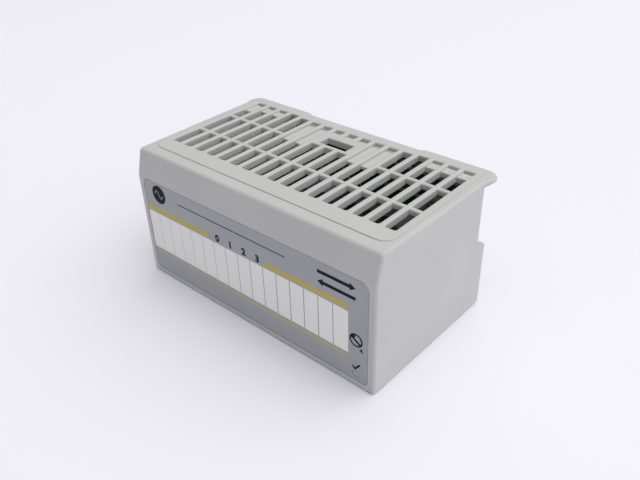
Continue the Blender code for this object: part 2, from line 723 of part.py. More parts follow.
def make_rear_cover(material, carrier):
    bm = outline_bmesh(cover_profile(), -COVER_HALF, COVER_HALF, SIDE_PROFILE)
    cover = make_part("rear_cover", bm, material, carrier)
    tongues = bmesh.new()
    top_end = min(BODY_HEIGHT - PANEL_THICKNESS, RIM_TOP - LIP_THICKNESS) - FIT
    bottom_end = PANEL_THICKNESS + FIT
    add_box(
        tongues,
        (-TONGUE_HALF, UPPER_INNER_Y, COVER_TOP - THROUGH),
        (TONGUE_HALF, UPPER_COVER_Y, top_end),
    )
    add_box(
        tongues,
        (-TONGUE_HALF, LOWER_INNER_Y, bottom_end),
        (TONGUE_HALF, LOWER_COVER_Y, COVER_BOTTOM + THROUGH),
    )
    boolean(cover, make_tool("cover_tongues", tongues), "UNION")
    bar = bmesh.new()
    bar_half = key_place().x - KEY_RADIUS - KEY_WALL - GUIDE_BAR_GAP
    bar_low = SHOULDER_TOP + GUIDE_BAR_RISE
    add_box(
        bar,
        (-bar_half, UPPER_INNER_Y, bar_low),
        (bar_half, UPPER_COVER_Y + GUIDE_BAR_DEPTH, bar_low + GUIDE_BAR_HEIGHT),
    )
    boolean(cover, make_tool("guide_bar", bar), "UNION")
    for index, (x, z) in enumerate(POSTS):
        post = bmesh.new()
        foot = UPPER_COVER_Y if z == POST_HIGH else LOWER_COVER_Y
        start = REAR_BOARD_BACK + FIT
        add_cylinder(post, (x, start, z), (x, foot - FIT, z), POST_RADIUS)
        boolean(cover, make_tool(f"post_{index}", post), "UNION")
        bore = bmesh.new()
        end = (x, start + STUD_LENGTH + FIT, z)
        add_cylinder(bore, (x, start - THROUGH, z), end, SCREW_RADIUS + FIT, SMALL_ROUND_SIDES)
        boolean(cover, make_tool(f"post_bore_{index}", bore))
    low, high, _ = shroud_box()
    aperture = bmesh.new()
    grow = Vector((FIT, THROUGH, FIT))
    add_box(aperture, low - grow, high + grow)
    boolean(cover, make_tool("connector_aperture", aperture))
    socket = bmesh.new()
    place = key_place()
    reach = Vector((0, KEY_DEPTH + KEY_WALL + FIT, 0))
    add_cylinder(socket, place - reach, place + Vector((0, THROUGH, 0)), KEY_RADIUS + KEY_WALL + FIT)
    boolean(cover, make_tool("key_aperture", socket))
    for index, (x, inner_y, z) in enumerate(BOSSES):
        add_screw_well(cover, index, x, inner_y, z)


def add_screw_well(cover, index, x, inner_y, z):
    """Well that takes a screw head below the cover's face."""
    outer = inner_y + COVER_THICKNESS
    floor = outer - WELL_DEPTH
    cup = bmesh.new()
    start = (x, floor - COVER_THICKNESS, z)
    add_cylinder(cup, start, (x, outer - COVER_THICKNESS / 2, z), WELL_RADIUS + WELL_WALL)
    boolean(cover, make_tool(f"well_cup_{index}", cup), "UNION")
    well = bmesh.new()
    add_cylinder(well, (x, floor, z), (x, outer + THROUGH, z), WELL_RADIUS)
    boolean(cover, make_tool(f"well_{index}", well))
    hole = bmesh.new()
    start = (x, floor - COVER_THICKNESS - THROUGH, z)
    add_cylinder(hole, start, (x, outer, z), SCREW_RADIUS + FIT, SMALL_ROUND_SIDES)
    boolean(cover, make_tool(f"well_hole_{index}", hole))


def make_screws(name, places, way, reach, material, carrier):
    """Pan-head screws, each with its head off the face at its place and its shank the other way."""
    along = Vector((0, way, 0))
    for number, place in enumerate(places, 1):
        seat = Vector(place) + along * FIT
        head = bmesh.new()
        add_cylinder(head, seat, seat + along * SCREW_HEAD_HEIGHT, SCREW_HEAD_RADIUS)
        screw = make_part(f"{name}_{number}", head, material, carrier)
        shank = bmesh.new()
        add_cylinder(shank, seat + along * FIT, seat - along * reach, SCREW_RADIUS, SMALL_ROUND_SIDES)
        boolean(screw, make_tool(f"{name}_shank_{number}", shank), "UNION")


def make_board(name, front, material, carrier):
    """Board with notches that clear the hood's bosses when it is pulled out, and with spacer holes."""
    outline = rectangle(-BOARD_HALF, BOARD_HALF, BOARD_BOTTOM, BOARD_TOP)
    board = make_part(
        name, outline_bmesh(outline, -front - BOARD_THICKNESS, -front, FRONT_FACING), material, carrier
    )
    cuts = bmesh.new()
    back = front + BOARD_THICKNESS + THROUGH
    reach = BOSS_RADIUS + BOARD_NOTCH_GAP
    for x, _, z in BOSSES:
        inner, outer = sorted((x - math.copysign(reach, x), math.copysign(BOARD_HALF + THROUGH, x)))
        add_box(cuts, (inner, front - THROUGH, z - reach), (outer, back, z + reach))
    for x, z in POSTS:
        add_cylinder(cuts, (x, front - THROUGH, z), (x, back, z), SCREW_RADIUS + FIT, SMALL_ROUND_SIDES)
    boolean(board, make_tool(f"{name}_cuts", cuts))


def make_spacers(material, carrier):
    """Hexagon spacers with a stud into the cover's posts and a tapped bore for the front screws."""
    front = FRONT_BOARD_BACK + FIT
    back = REAR_BOARD_FRONT - FIT
    stud_end = REAR_BOARD_BACK + FIT + STUD_LENGTH
    for number, (x, z) in enumerate(POSTS, 1):
        body = bmesh.new()
        add_cylinder(body, (x, front, z), (x, back, z), SPACER_RADIUS, HEXAGON_SIDES)
        spacer = make_part(f"board_spacer_{number}", body, material, carrier)
        stud = bmesh.new()
        add_cylinder(stud, (x, back - THROUGH, z), (x, stud_end, z), SCREW_RADIUS, SMALL_ROUND_SIDES)
        boolean(spacer, make_tool(f"spacer_stud_{number}", stud), "UNION")
        bore = bmesh.new()
        end = (x, front + SCREW_REACH, z)
        add_cylinder(bore, (x, front - THROUGH, z), end, SCREW_RADIUS + FIT, SMALL_ROUND_SIDES)
        boolean(spacer, make_tool(f"spacer_bore_{number}", bore))


def make_connector(shell, metal, carrier):
    low, high, columns = shroud_box()
    bm = bmesh.new()
    add_box(bm, low, high)
    shroud = make_part("connector_shroud", bm, shell, carrier)
    hollow = bmesh.new()
    floor = high.y - SHROUD_DEPTH
    wall = SHROUD_WALL
    add_box(
        hollow,
        (low.x + wall, floor, low.z + wall),
        (high.x - wall, high.y + THROUGH, high.z - wall),
    )
    boolean(shroud, make_tool("shroud_hollow", hollow))
    wafer = bmesh.new()
    start = floor + FIT
    seat = start + CONTACT_WAFER
    grow = SHROUD_WALL + FIT
    add_box(wafer, (low.x + grow, start, low.z + grow), (high.x - grow, seat, high.z - grow))
    contacts = make_part("connector_contacts", wafer, metal, carrier)
    pins = pin_block(columns, seat - CONTACT_WAFER / 2, seat + PIN_LENGTH, (low.z + high.z) / 2, PIN_WIDTH)
    boolean(contacts, make_tool("contact_pins", pins), "UNION")


def pin_block(columns, start, end, middle, width):
    """Rows of square pins along Y, centred on x = 0."""
    bm = bmesh.new()
    half = width / 2
    for row in range(PIN_ROWS):
        z = middle + (row - (PIN_ROWS - 1) / 2) * PIN_PITCH
        for column in range(columns):
            x = (column - (columns - 1) / 2) * PIN_PITCH
            add_box(bm, (x - half, start, z - half), (x + half, end, z + half))
    return bm


def make_keying_socket(material, carrier):
    """Round cup with one fixed blade across it, which lets in only a base that is set to match."""
    place = key_place()
    back = place - Vector((0, KEY_DEPTH + KEY_WALL, 0))
    cup = bmesh.new()
    add_cylinder(cup, back, place, KEY_RADIUS + KEY_WALL)
    socket = make_part("keying_socket", cup, material, carrier)
    hollow = bmesh.new()
    floor = place - Vector((0, KEY_DEPTH, 0))
    add_cylinder(hollow, floor, place + Vector((0, THROUGH, 0)), KEY_RADIUS)
    boolean(socket, make_tool("key_hollow", hollow))
    blade = bmesh.new()
    half = KEY_BLADE / 2
    length = KEY_RADIUS + KEY_WALL / 2
    add_box(blade, (-length, -KEY_DEPTH - KEY_WALL / 2, -half), (length, -FIT, half))
    blade.transform(Matrix.Translation(place) @ Matrix.Rotation(KEY_ANGLE, 4, "Y"))
    boolean(socket, make_tool("key_blade", blade), "UNION")


def make_board_link(header_shell, socket_shell, carrier):
    """Pin header on the rear board and the socket on the front board that its pins go into."""
    half = LINK_COLUMNS * PIN_PITCH / 2
    middle = BOARD_MIDDLE - LINK_DROP
    low = middle - LINK_WIDTH / 2
    high = middle + LINK_WIDTH / 2
    base_back = REAR_BOARD_FRONT - FIT
    base_front = base_back - LINK_BASE
    base = bmesh.new()
    add_box(base, (-half, base_front, low), (half, base_back, high))
    header = make_part("link_header", base, header_shell, carrier)
    socket_back = base_front - FIT
    pin_front = socket_back - LINK_OVERLAP
    pins = pin_block(LINK_COLUMNS, pin_front, base_back - LINK_BASE / 2, middle, PIN_WIDTH)
    boolean(header, make_tool("link_pins", pins), "UNION")
    body = bmesh.new()
    add_box(body, (-half, FRONT_BOARD_BACK + FIT, low), (half, socket_back, high))
    socket = make_part("link_socket", body, socket_shell, carrier)
    ways = pin_block(LINK_COLUMNS, pin_front - FIT, base_front, middle, PIN_WIDTH + 2 * FIT)
    boolean(socket, make_tool("link_ways", ways))


def spread(widths, span):
    """Middles of pieces of these widths, set along a span with equal gaps."""
    gap = (span - sum(widths)) / (len(widths) + 1)
    places = []
    edge = -span / 2
    for width in widths:
        places.append(edge + gap + width / 2)
        edge += gap + width
    return places


def board_span():
    """Width between the board's spacers that pieces can stand in."""
    return 2 * (POST_X - SPACER_RADIUS)


def seat_on(face, height, x, z, length, width):
    """Corners of a box that stands off a board's front face by the fit."""
    back = face - FIT
    low = (x - length / 2, back - height, z - width / 2)
    high = (x + length / 2, back, z + width / 2)
    return low, high


def make_chips(name, places, size, material, carrier):
    """Box-shaped pieces of (across, up, off the board) size with eased edges on the front board."""
    across, up, height = size
    for number, (x, z) in enumerate(places, 1):
        bm = bmesh.new()
        add_box(bm, *seat_on(FRONT_BOARD_FRONT, height, x, z, across, up))
        bevel(bm, bm.edges[:], CHIP_BEVEL, CHAMFER_SEGMENTS)
        make_part(numbered(name, number, places), bm, material, carrier)


def numbered(name, number, places):
    """A piece's name, with its number where there is more than one."""
    return f"{name}_{number}" if len(places) > 1 else name


def make_transformers(places, ferrite, tape, carrier):
    """Three-legged cores with a winding round the middle leg."""
    z = BOARD_MIDDLE + POWER_ROW_RISE
    back = REAR_BOARD_FRONT - FIT - CORE_STANDOFF
    front = back - CORE_DEPTH
    window = (CORE_WIDTH - 3 * CORE_LEG) / 2
    height = CORE_HEIGHT / 2 - CORE_LEG
    rise = height - FIT
    leg = CORE_LEG / 2 + FIT
    half = CORE_WIDTH / 2
    for number, x in enumerate(places, 1):
        body = bmesh.new()
        add_box(body, (x - half, front, z - CORE_HEIGHT / 2), (x + half, back, z + CORE_HEIGHT / 2))
        core = make_part(f"transformer_core_{number}", body, ferrite, carrier)
        windows = bmesh.new()
        for side in (-1, 1):
            near, far = sorted((x + side * CORE_LEG / 2, x + side * (CORE_LEG / 2 + window)))
            add_box(windows, (near, front - THROUGH, z - height), (far, back + THROUGH, z + height))
        boolean(core, make_tool(f"core_windows_{number}", windows))
        wrap = leg + WINDING_WALL
        coil = bmesh.new()
        add_box(
            coil,
            (x - wrap, front - FIT - WINDING_WALL, z - rise),
            (x + wrap, back + WINDING_WALL - FIT, z + rise),
        )
        winding = make_part(f"transformer_winding_{number}", coil, tape, carrier)
        way = bmesh.new()
        add_box(way, (x - leg, front - FIT, z - rise - THROUGH), (x + leg, back + FIT, z + rise + THROUGH))
        boolean(winding, make_tool(f"winding_way_{number}", way))


def make_electrolytics(x, material, carrier):
    offset = CAPACITOR_RADIUS + CAPACITOR_GAP / 2
    back = REAR_BOARD_FRONT - FIT
    front = back - CAPACITOR_LENGTH
    row = BOARD_MIDDLE + POWER_ROW_RISE
    places = [(x + side * offset, row + level * offset) for level in (-1, 1) for side in (-1, 1)]
    for number, (at, z) in enumerate(places, 1):
        bm = bmesh.new()
        add_cylinder(bm, (at, front, z), (at, back, z), CAPACITOR_RADIUS)
        rim = [edge for edge in bm.edges if all(abs(vert.co.y - front) < WELD for vert in edge.verts)]
        bevel(bm, rim, CAPACITOR_BEVEL, RIM_SEGMENTS)
        make_part(f"electrolytic_capacitor_{number}", bm, material, carrier)


def make_diodes(x, material, carrier):
    y = REAR_BOARD_FRONT - FIT - DIODE_RADIUS
    half = DIODE_LENGTH / 2
    for number in range(DIODE_COUNT):
        z = BOARD_MIDDLE + POWER_ROW_RISE + (number - (DIODE_COUNT - 1) / 2) * DIODE_PITCH
        bm = bmesh.new()
        add_cylinder(bm, (x - half, y, z), (x + half, y, z), DIODE_RADIUS, SMALL_ROUND_SIDES)
        make_part(f"rectifier_diode_{number + 1}", bm, material, carrier)


def make_inductor(x, z, material, carrier):
    """Drum core: two flanges with a wound waist between them."""
    bm = bmesh.new()
    back = REAR_BOARD_FRONT - FIT
    front = back - INDUCTOR_HEIGHT
    add_cylinder(bm, (x, front, z), (x, front + INDUCTOR_FLANGE, z), INDUCTOR_RADIUS)
    add_cylinder(bm, (x, back - INDUCTOR_FLANGE, z), (x, back, z), INDUCTOR_RADIUS)
    drum = make_part("power_inductor", bm, material, carrier)
    waist = bmesh.new()
    inset = INDUCTOR_FLANGE / 2
    add_cylinder(waist, (x, front + inset, z), (x, back - inset, z), INDUCTOR_RADIUS - INDUCTOR_GROOVE)
    boolean(drum, make_tool("inductor_waist", waist), "UNION")


def make_fuse(x, z, material, carrier):
    bm = bmesh.new()
    back = REAR_BOARD_FRONT - FIT
    add_cylinder(bm, (x, back - FUSE_HEIGHT, z), (x, back, z), FUSE_RADIUS)
    make_part("input_fuse", bm, material, carrier)


def make_rear_board_pieces(paint, carrier):
    capacitor_block = 4 * CAPACITOR_RADIUS + CAPACITOR_GAP
    widths = (DIODE_LENGTH, CORE_WIDTH, capacitor_block, CORE_WIDTH)
    diode_x, left_x, capacitor_x, right_x = spread(widths, board_span())
    make_transformers((left_x, right_x), paint["ferrite"], paint["winding_tape"], carrier)
    make_electrolytics(capacitor_x, paint["capacitor_sleeve"], carrier)
    make_diodes(diode_x, paint["diode_body"], carrier)
    low_row = BOARD_MIDDLE - LINK_DROP
    inductor_x, _, fuse_x = spread(
        (2 * INDUCTOR_RADIUS, LINK_COLUMNS * PIN_PITCH, 2 * FUSE_RADIUS), board_span()
    )
    make_inductor(inductor_x, low_row, paint["inductor_core"], carrier)
    make_fuse(fuse_x, low_row, paint["fuse_body"], carrier)


def make_front_board_pieces(paint, carrier):
    row = BOARD_MIDDLE + SIGNAL_ROW_RISE
    widths = (NETWORK_WIDTH, CRYSTAL_WIDTH, PROCESSOR_SIZE, CONVERTER_WIDTH, CONVERTER_WIDTH, NETWORK_WIDTH)
    places = [(x, row) for x in spread(widths, board_span())]
    first, crystal, processor, *converters, last = places
    size = (NETWORK_WIDTH, NETWORK_LENGTH, NETWORK_HEIGHT)
    make_chips("resistor_network", [first, last], size, paint["resistor_coat"], carrier)
    size = (CRYSTAL_WIDTH, CRYSTAL_LENGTH, CRYSTAL_HEIGHT)
    make_chips("crystal_can", [crystal], size, paint["crystal_can"], carrier)
    size = (PROCESSOR_SIZE, PROCESSOR_SIZE, PROCESSOR_HEIGHT)
    make_chips("processor_chip", [processor], size, paint["chip_resin"], carrier)
    size = (CONVERTER_WIDTH, CONVERTER_LENGTH, CONVERTER_HEIGHT)
    make_chips("converter_chip", converters, size, paint["converter_resin"], carrier)
    low_row = BOARD_MIDDLE - ISOLATION_ROW_DROP
    widths = (FILM_LENGTH, *[OPTOCOUPLER_WIDTH] * OPTOCOUPLER_COUNT, FILM_LENGTH)
    left, *couplers, right = [(x, low_row) for x in spread(widths, board_span())]
    size = (FILM_LENGTH, FILM_WIDTH, FILM_HEIGHT)
    make_chips("film_capacitor", [left, right], size, paint["film_resin"], carrier)
    size = (OPTOCOUPLER_WIDTH, OPTOCOUPLER_LENGTH, OPTOCOUPLER_HEIGHT)
    make_chips("optocoupler", couplers, size, paint["optocoupler_resin"], carrier)
    led = bmesh.new()
    add_box(led, *seat_on(FRONT_BOARD_FRONT, LED_DEPTH, LIGHT_X, LED_Z, LED_WIDTH, LED_HEIGHT))
    make_part("status_led", led, paint["led_resin"], carrier)


def make_paint():
    """One finish for each piece: colour, roughness and metallic value."""
    finishes = {
        "hood_grey": ((0.56, 0.56, 0.55), 0.5, 0.0),
        "panel_grey": ((0.57, 0.57, 0.56), 0.5, 0.0),
        "lower_panel_grey": ((0.55, 0.55, 0.54), 0.5, 0.0),
        "cover_grey": ((0.54, 0.54, 0.53), 0.5, 0.0),
        "label_film": ((0.27, 0.29, 0.32), 0.4, 0.0),
        "strip_white": ((0.6, 0.6, 0.58), 0.6, 0.0),
        "pipe_clear": ((0.7, 0.72, 0.72), 0.15, 0.0),
        "screw_zinc": ((0.6, 0.6, 0.58), 0.35, 1.0),
        "board_screw_zinc": ((0.62, 0.62, 0.6), 0.35, 1.0),
        "spacer_nickel": ((0.65, 0.63, 0.58), 0.3, 1.0),
        "board_green": ((0.03, 0.16, 0.07), 0.4, 0.0),
        "front_board_green": ((0.03, 0.17, 0.08), 0.4, 0.0),
        "shroud_black": ((0.02, 0.02, 0.02), 0.5, 0.0),
        "pin_gold": ((0.8, 0.6, 0.25), 0.25, 1.0),
        "key_black": ((0.03, 0.03, 0.03), 0.5, 0.0),
        "link_black": ((0.025, 0.025, 0.025), 0.5, 0.0),
        "header_black": ((0.02, 0.02, 0.022), 0.5, 0.0),
        "ferrite": ((0.06, 0.06, 0.065), 0.6, 0.0),
        "winding_tape": ((0.6, 0.45, 0.08), 0.45, 0.0),
        "capacitor_sleeve": ((0.03, 0.05, 0.12), 0.4, 0.0),
        "diode_body": ((0.03, 0.03, 0.03), 0.5, 0.0),
        "inductor_core": ((0.07, 0.06, 0.06), 0.6, 0.0),
        "fuse_body": ((0.05, 0.02, 0.02), 0.5, 0.0),
        "resistor_coat": ((0.35, 0.18, 0.05), 0.5, 0.0),
        "crystal_can": ((0.7, 0.7, 0.7), 0.25, 1.0),
        "chip_resin": ((0.03, 0.03, 0.032), 0.55, 0.0),
        "converter_resin": ((0.035, 0.035, 0.035), 0.55, 0.0),
        "optocoupler_resin": ((0.75, 0.75, 0.72), 0.5, 0.0),
        "film_resin": ((0.45, 0.05, 0.03), 0.4, 0.0),
        "led_resin": ((0.6, 0.8, 0.6), 0.25, 0.0),
    }
    return {name: make_material(name, *finish) for name, finish in finishes.items()}


clear_scene()
PARTS = make_collection("io_module")
TOOLS = make_collection("io_module_tools")


def main():
    paint = make_paint()
    hood = make_carrier("hood_carrier")
    chassis = make_carrier("chassis_carrier")
    make_front_hood(paint["hood_grey"], hood)
    make_top_vent_panel(paint["panel_grey"], hood)
    make_bottom_vent_panel(paint["lower_panel_grey"], hood)
    make_label(paint["label_film"], paint["strip_white"], hood)
    make_light_pipe(paint["pipe_clear"], hood)
    make_rear_cover(paint["cover_grey"], chassis)
    floors = [(x, inner_y + COVER_THICKNESS - WELL_DEPTH, z) for x, inner_y, z in BOSSES]
    reach = COVER_THICKNESS + SCREW_REACH
    make_screws("cover_screw", floors, 1, reach, paint["screw_zinc"], chassis)
    make_board("rear_board", REAR_BOARD_FRONT, paint["board_green"], chassis)
    make_board("front_board", FRONT_BOARD_FRONT, paint["front_board_green"], chassis)
    make_spacers(paint["spacer_nickel"], chassis)
    front = [(x, FRONT_BOARD_FRONT, z) for x, z in POSTS]
    make_screws("board_screw", front, -1, SCREW_REACH, paint["board_screw_zinc"], chassis)
    make_connector(paint["shroud_black"], paint["pin_gold"], chassis)
    make_keying_socket(paint["key_black"], chassis)
    make_board_link(paint["header_black"], paint["link_black"], chassis)
    make_rear_board_pieces(paint, chassis)
    make_front_board_pieces(paint, chassis)


main()
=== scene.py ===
"""Looks of a plug-in input/output module: moulded shells, label print, dressed boards and a pale studio.

Metres, +Z up, in the frame of the solids. The label faces -Y and the connector side faces +Y.
"""
import json
import math

import bmesh
import bpy
from mathutils import Matrix, Vector


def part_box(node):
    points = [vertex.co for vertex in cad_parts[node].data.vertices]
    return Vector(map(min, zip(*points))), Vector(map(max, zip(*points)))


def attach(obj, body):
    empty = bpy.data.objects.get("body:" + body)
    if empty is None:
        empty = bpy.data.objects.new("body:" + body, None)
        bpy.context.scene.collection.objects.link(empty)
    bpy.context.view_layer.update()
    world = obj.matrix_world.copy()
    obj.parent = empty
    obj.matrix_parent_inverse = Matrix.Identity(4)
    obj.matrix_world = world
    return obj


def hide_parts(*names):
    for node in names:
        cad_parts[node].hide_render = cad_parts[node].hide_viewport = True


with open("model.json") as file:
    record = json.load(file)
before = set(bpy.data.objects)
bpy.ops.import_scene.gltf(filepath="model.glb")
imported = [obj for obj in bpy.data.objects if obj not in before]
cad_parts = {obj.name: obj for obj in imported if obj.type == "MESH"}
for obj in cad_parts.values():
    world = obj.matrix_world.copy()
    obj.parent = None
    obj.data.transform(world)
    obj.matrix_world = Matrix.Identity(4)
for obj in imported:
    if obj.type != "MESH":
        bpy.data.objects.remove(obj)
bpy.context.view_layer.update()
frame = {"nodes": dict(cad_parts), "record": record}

MM = 0.001

# Case, from the solids
HOOD_LOW, HOOD_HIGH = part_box("front_hood")
PANEL_LOW, PANEL_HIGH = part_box("top_vent_panel")
FLOOR_PANEL_LOW, FLOOR_PANEL_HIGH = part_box("bottom_vent_panel")
LABEL_LOW, LABEL_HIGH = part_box("label_overlay")
STRIP_LOW, STRIP_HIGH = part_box("write_on_strip")
PIPE_LOW, PIPE_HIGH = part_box("light_pipe")
COVER_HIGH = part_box("rear_cover")[1]

FIT = 0.3 * MM
SEAM = 0.045 * MM
WALL = 2.0 * MM
RIM_EDGE = 0.12 * MM
SOLID_EDGE = 0.12 * MM
FINE_EDGE = 0.06 * MM
THROUGH = 3.0 * MM
TINY = 0.002 * MM

# Hood
FRONT_FACE = HOOD_LOW.y
LIP_END = PANEL_HIGH.y
BAND_HEIGHT = 8.15 * MM
BAND_LEAN = 2.2 * MM
BAND_FOLD_REACH = 0.5 * MM
TOP_FRONT_REACH = 0.92 * MM
FRONT_FOOT_RADIUS = 0.5 * MM
SIDE_EDGE_RADIUS = 0.85 * MM
SIDE_DRAFT = 0.7 * MM
FOOT_RADIUS = 0.8 * MM
LIP_OVERHANG = 8.05 * MM
SHOULDER_TOP = 24.4 * MM
SHOULDER_LOW = 22.1 * MM
SHOULDER_REACH = 0.9 * MM
UPPER_REAR = LIP_END - LIP_OVERHANG
COVER_FACE = UPPER_REAR - FIT
INSIDE_REAR = COVER_FACE - WALL / 4
HOOD_HALF = HOOD_HIGH.x - SIDE_DRAFT * (HOOD_HIGH.y - UPPER_REAR) / (UPPER_REAR - FRONT_FACE)
LEDGE_WIDTH = 1.6 * MM
LEDGE_THICKNESS = 1.6 * MM
SEAT_DEPTH = 2.15 * MM
LABEL_RECESS = 0.8 * MM
LABEL_GAP = 0.18 * MM
LABEL_FOOT = 0.35 * MM
LABEL_TOP_RADIUS = 2.6 * MM
LABEL_BOTTOM_RADIUS = 1.5 * MM

# Vent panels
PANEL_HALF = FLOOR_PANEL_HIGH.x
PANEL_CORNER_RADIUS = 4.0 * MM
PANEL_THICKNESS = FLOOR_PANEL_HIGH.z - FLOOR_PANEL_LOW.z
FIELD_EDGE = 0.12 * MM
SLAT_EDGE = 0.42 * MM
VENT_PITCH = 5.08 * MM
VENT_STEPS = 8
SLOT_HALF = 1.675 * MM
SLOT_END_RADIUS = 0.6 * MM
CROSSBAR = 1.55 * MM
CROSSBAR_DROP = 0.1 * MM
CROSSBAR_EDGE = 0.55 * MM
POCKET_DEPTH = 0.6 * MM
CHANNEL_DEPTH = 0.9 * MM
TROUGH_DEPTH = 1.15 * MM
TROUGH_EDGE = 0.3 * MM
TROUGH_LENGTH = 1.5 * MM
CORNER_TROUGH_LENGTH = 0.8 * MM
CLOSED_DEPTH = 1.9 * MM
PLUG_LAP = 0.16 * MM
PLATE_STEPS = 1
CHANNEL_STEPS = 3
OPEN_STEPS = 5
FRONT_ROW_START = PANEL_LOW.y + 5.7 * MM
FRONT_ROW_END = FRONT_ROW_START + 10.65 * MM
MIDDLE_ROW_START = FRONT_ROW_END + CROSSBAR
MIDDLE_ROW_END = MIDDLE_ROW_START + 11.65 * MM
REAR_ROW_START = MIDDLE_ROW_END + CROSSBAR
REAR_ROW_END = LIP_END - 6.0 * MM
CORNER_ROW_END = REAR_ROW_END + 0.8 * MM
FLOOR_ROW_END = FLOOR_PANEL_HIGH.y - 4.75 * MM
LATCH_STEPS = 1
LATCH_START = REAR_ROW_START + 1.1 * MM
LATCH_END = LATCH_START + 4.2 * MM
CHANNEL_START = MIDDLE_ROW_END - 0.7 * MM
PLATE_POCKET_START = REAR_ROW_END - 3.0 * MM
CORNER_POCKET_START = CORNER_ROW_END - 4.1 * MM
END_POCKET_START = CORNER_ROW_END - 6.6 * MM
FIELD_END = LIP_END - 3.45 * MM
LIP_START = CORNER_ROW_END + 0.4 * MM
LIP_THICKNESS = 1.6 * MM
LIP_ROOT_THICKNESS = 2.1 * MM
LIP_CORNER_RADIUS = 3.8 * MM
LIP_EDGE_RADIUS = 1.7 * MM
LIP_EDGE_DROP = 0.9 * MM
LIP_UNDER_RADIUS = 0.6 * MM
LIP_WING_START = PANEL_HALF - 0.8 * MM
LIP_ROOT_RUN = 2.0 * MM
LIP_NOTCH_HALF = 22.3 * MM
LIP_NOTCH_DEPTH = 0.95 * MM
NOTCH_BLEND = 1.3 * MM
NOTCH_SEGMENTS = 8

# Label print
INK = 0.02 * MM
FIELDS = 16
DIVIDER_WIDTH = 0.22 * MM
UPPER_STRIPE = (24.9 * MM, 26.4 * MM)
UPPER_STRIPE_GAP = (-15.0 * MM, 8.0 * MM)
LOWER_STRIPE = (8.6 * MM, 9.7 * MM)
RULE = (-28.1 * MM, 15.9 * MM)
RULE_HEIGHT = 31.3 * MM
RULE_WIDTH = 0.3 * MM
EMBLEM = (-36.9 * MM, 31.5 * MM)
EMBLEM_RADIUS = 3.1 * MM
WAVE_SIZE = 0.6 * EMBLEM_RADIUS
WAVE_HEIGHT = 0.6
WAVE_LINE = 0.36 * MM
WORN = (-27.0 * MM, 13.0 * MM)
CHANNELS = 4
CHANNEL_MARKS = (-11.2 * MM, 5.2 * MM)
CHANNEL_MARK_HEIGHT = 26.0 * MM
CHANNEL_MARK_SIZE = 3.1 * MM
FIGURE_WEIGHT = 0.15 * MM
ARROWS = (33.5 * MM, 30.7 * MM)
ARROW_LENGTH = 12.5 * MM
ARROW_WIDTH = 1.05 * MM
ARROW_SPACING = 3.1 * MM
ARROW_HEAD = 1.8 * ARROW_WIDTH
ARROW_BARB = 1.1 * ARROW_WIDTH
KEY_MARK = (40.0 * MM, 16.0 * MM)
KEY_MARK_RADIUS = 2.15 * MM
KEY_MARK_LINE = 0.5 * MM
KEY_SHAPE = ((-0.2, 1.0), (-1.0, 0.5), (1.0, -0.8))
KEY_SIZE = 0.62 * KEY_MARK_RADIUS
KEY_LINE = 0.7 * MM
KEY_NUMBER = "4"
KEY_NUMBER_PLACE = (41.7 * MM, 13.2 * MM)
KEY_NUMBER_SIZE = 2.2 * MM
KEY_NUMBER_WEIGHT = 0.02 * MM
TICK = (40.1 * MM, 6.9 * MM)
TICK_SHAPE = ((-1.0, 0.0), (-0.3, -0.7), (1.0, 1.0))
TICK_SIZE = 1.25 * MM
TICK_LINE = 0.55 * MM

# Light pipe
LENS_HEIGHT = 1.5 * MM
LENS_RADIUS = 0.3 * MM
LENS_EDGE = 0.25 * MM
ROD_RADIUS = 0.9 * MM
LENS_LOW = PIPE_LOW.copy()
LENS_HIGH = Vector((PIPE_HIGH.x, FRONT_FACE + WALL - FIT, PIPE_LOW.z + LENS_HEIGHT))
ROD_PLACE = ((LENS_LOW.x + LENS_HIGH.x) / 2, PIPE_HIGH.z - ROD_RADIUS)

# Screws and their bosses. A share is of the shank's or the head's radius, or of the head's height.
HEAD_HEIGHT = 1.5 * MM
HEAD_FOOT_SHARE = 0.96
HEAD_EASE = 0.15 * MM
HEAD_RIM_SHARE = 0.45
CROSS_SHARES = (0.62, 0.17)
CROSS_DEPTH = 0.75 * MM
SHANK_RADIUS = 1.25 * MM
SHANK_TIP_SHARE = 0.6
THREAD_PITCH = 0.5 * MM
THREAD_START = 0.6
THREAD_ROOT_SHARE = 0.82
BOSS_RADIUS = 2.6 * MM
BOSS_LENGTH = 10.0 * MM
BOSS_EASE = 0.2 * MM
BOSS_RIB = 1.6 * MM
BOSS_GAP = 0.3 * MM

# What stands on the boards. Steps are (share of the radius, mm from the foot or from the top).
REAR_BOARD_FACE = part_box("rear_board")[0].y
FRONT_BOARD_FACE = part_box("front_board")[0].y
WIRE_RADIUS = 0.35 * MM
CAN_SIDES = 48
SLEEVE_FOOT = (
    (0.0, 0.0), (0.9, 0.0), (0.97, 0.15), (1.0, 0.5), (1.0, 1.3), (0.93, 1.7), (0.93, 2.0), (1.0, 2.5),
)
SLEEVE_TOP = (
    (1.0, 0.6), (0.985, 0.3), (0.94, 0.08), (0.87, 0.0), (0.84, 0.06), (0.84, 0.25), (0.0, 0.25),
)
CAN_TOP = ((0.0, 0.4), (0.85, 0.4), (0.85, 0.2), (0.8, 0.12), (0.0, 0.12))
SCORE_SHARES = (0.55, 0.045)
SCORE_DEPTH = 0.2 * MM
POLARITY_ARC = (60, 105)
POLARITY_FOOT = 2.8 * MM
POLARITY_TOP = 0.7 * MM
DIODE_EASE = 0.25 * MM
DIODE_BEND = 1.1 * MM
CATHODE_BAND = (0.72, 0.86)
DRUM_FLANGE = 1.3 * MM
DRUM_WAIST_SHARE = 0.86
DRUM_TURNS = 9
DRUM_SIDES = 40
FUSE_FOOT = ((0, 0), (1, 0), (1, 0.9), (0.95, 1.0), (0.95, 1.3), (1, 1.4))
FUSE_EDGES = ((0.0, 0.5), (0.15, 0.15), (0.5, 0.0))
FUSE_SIDES = 40
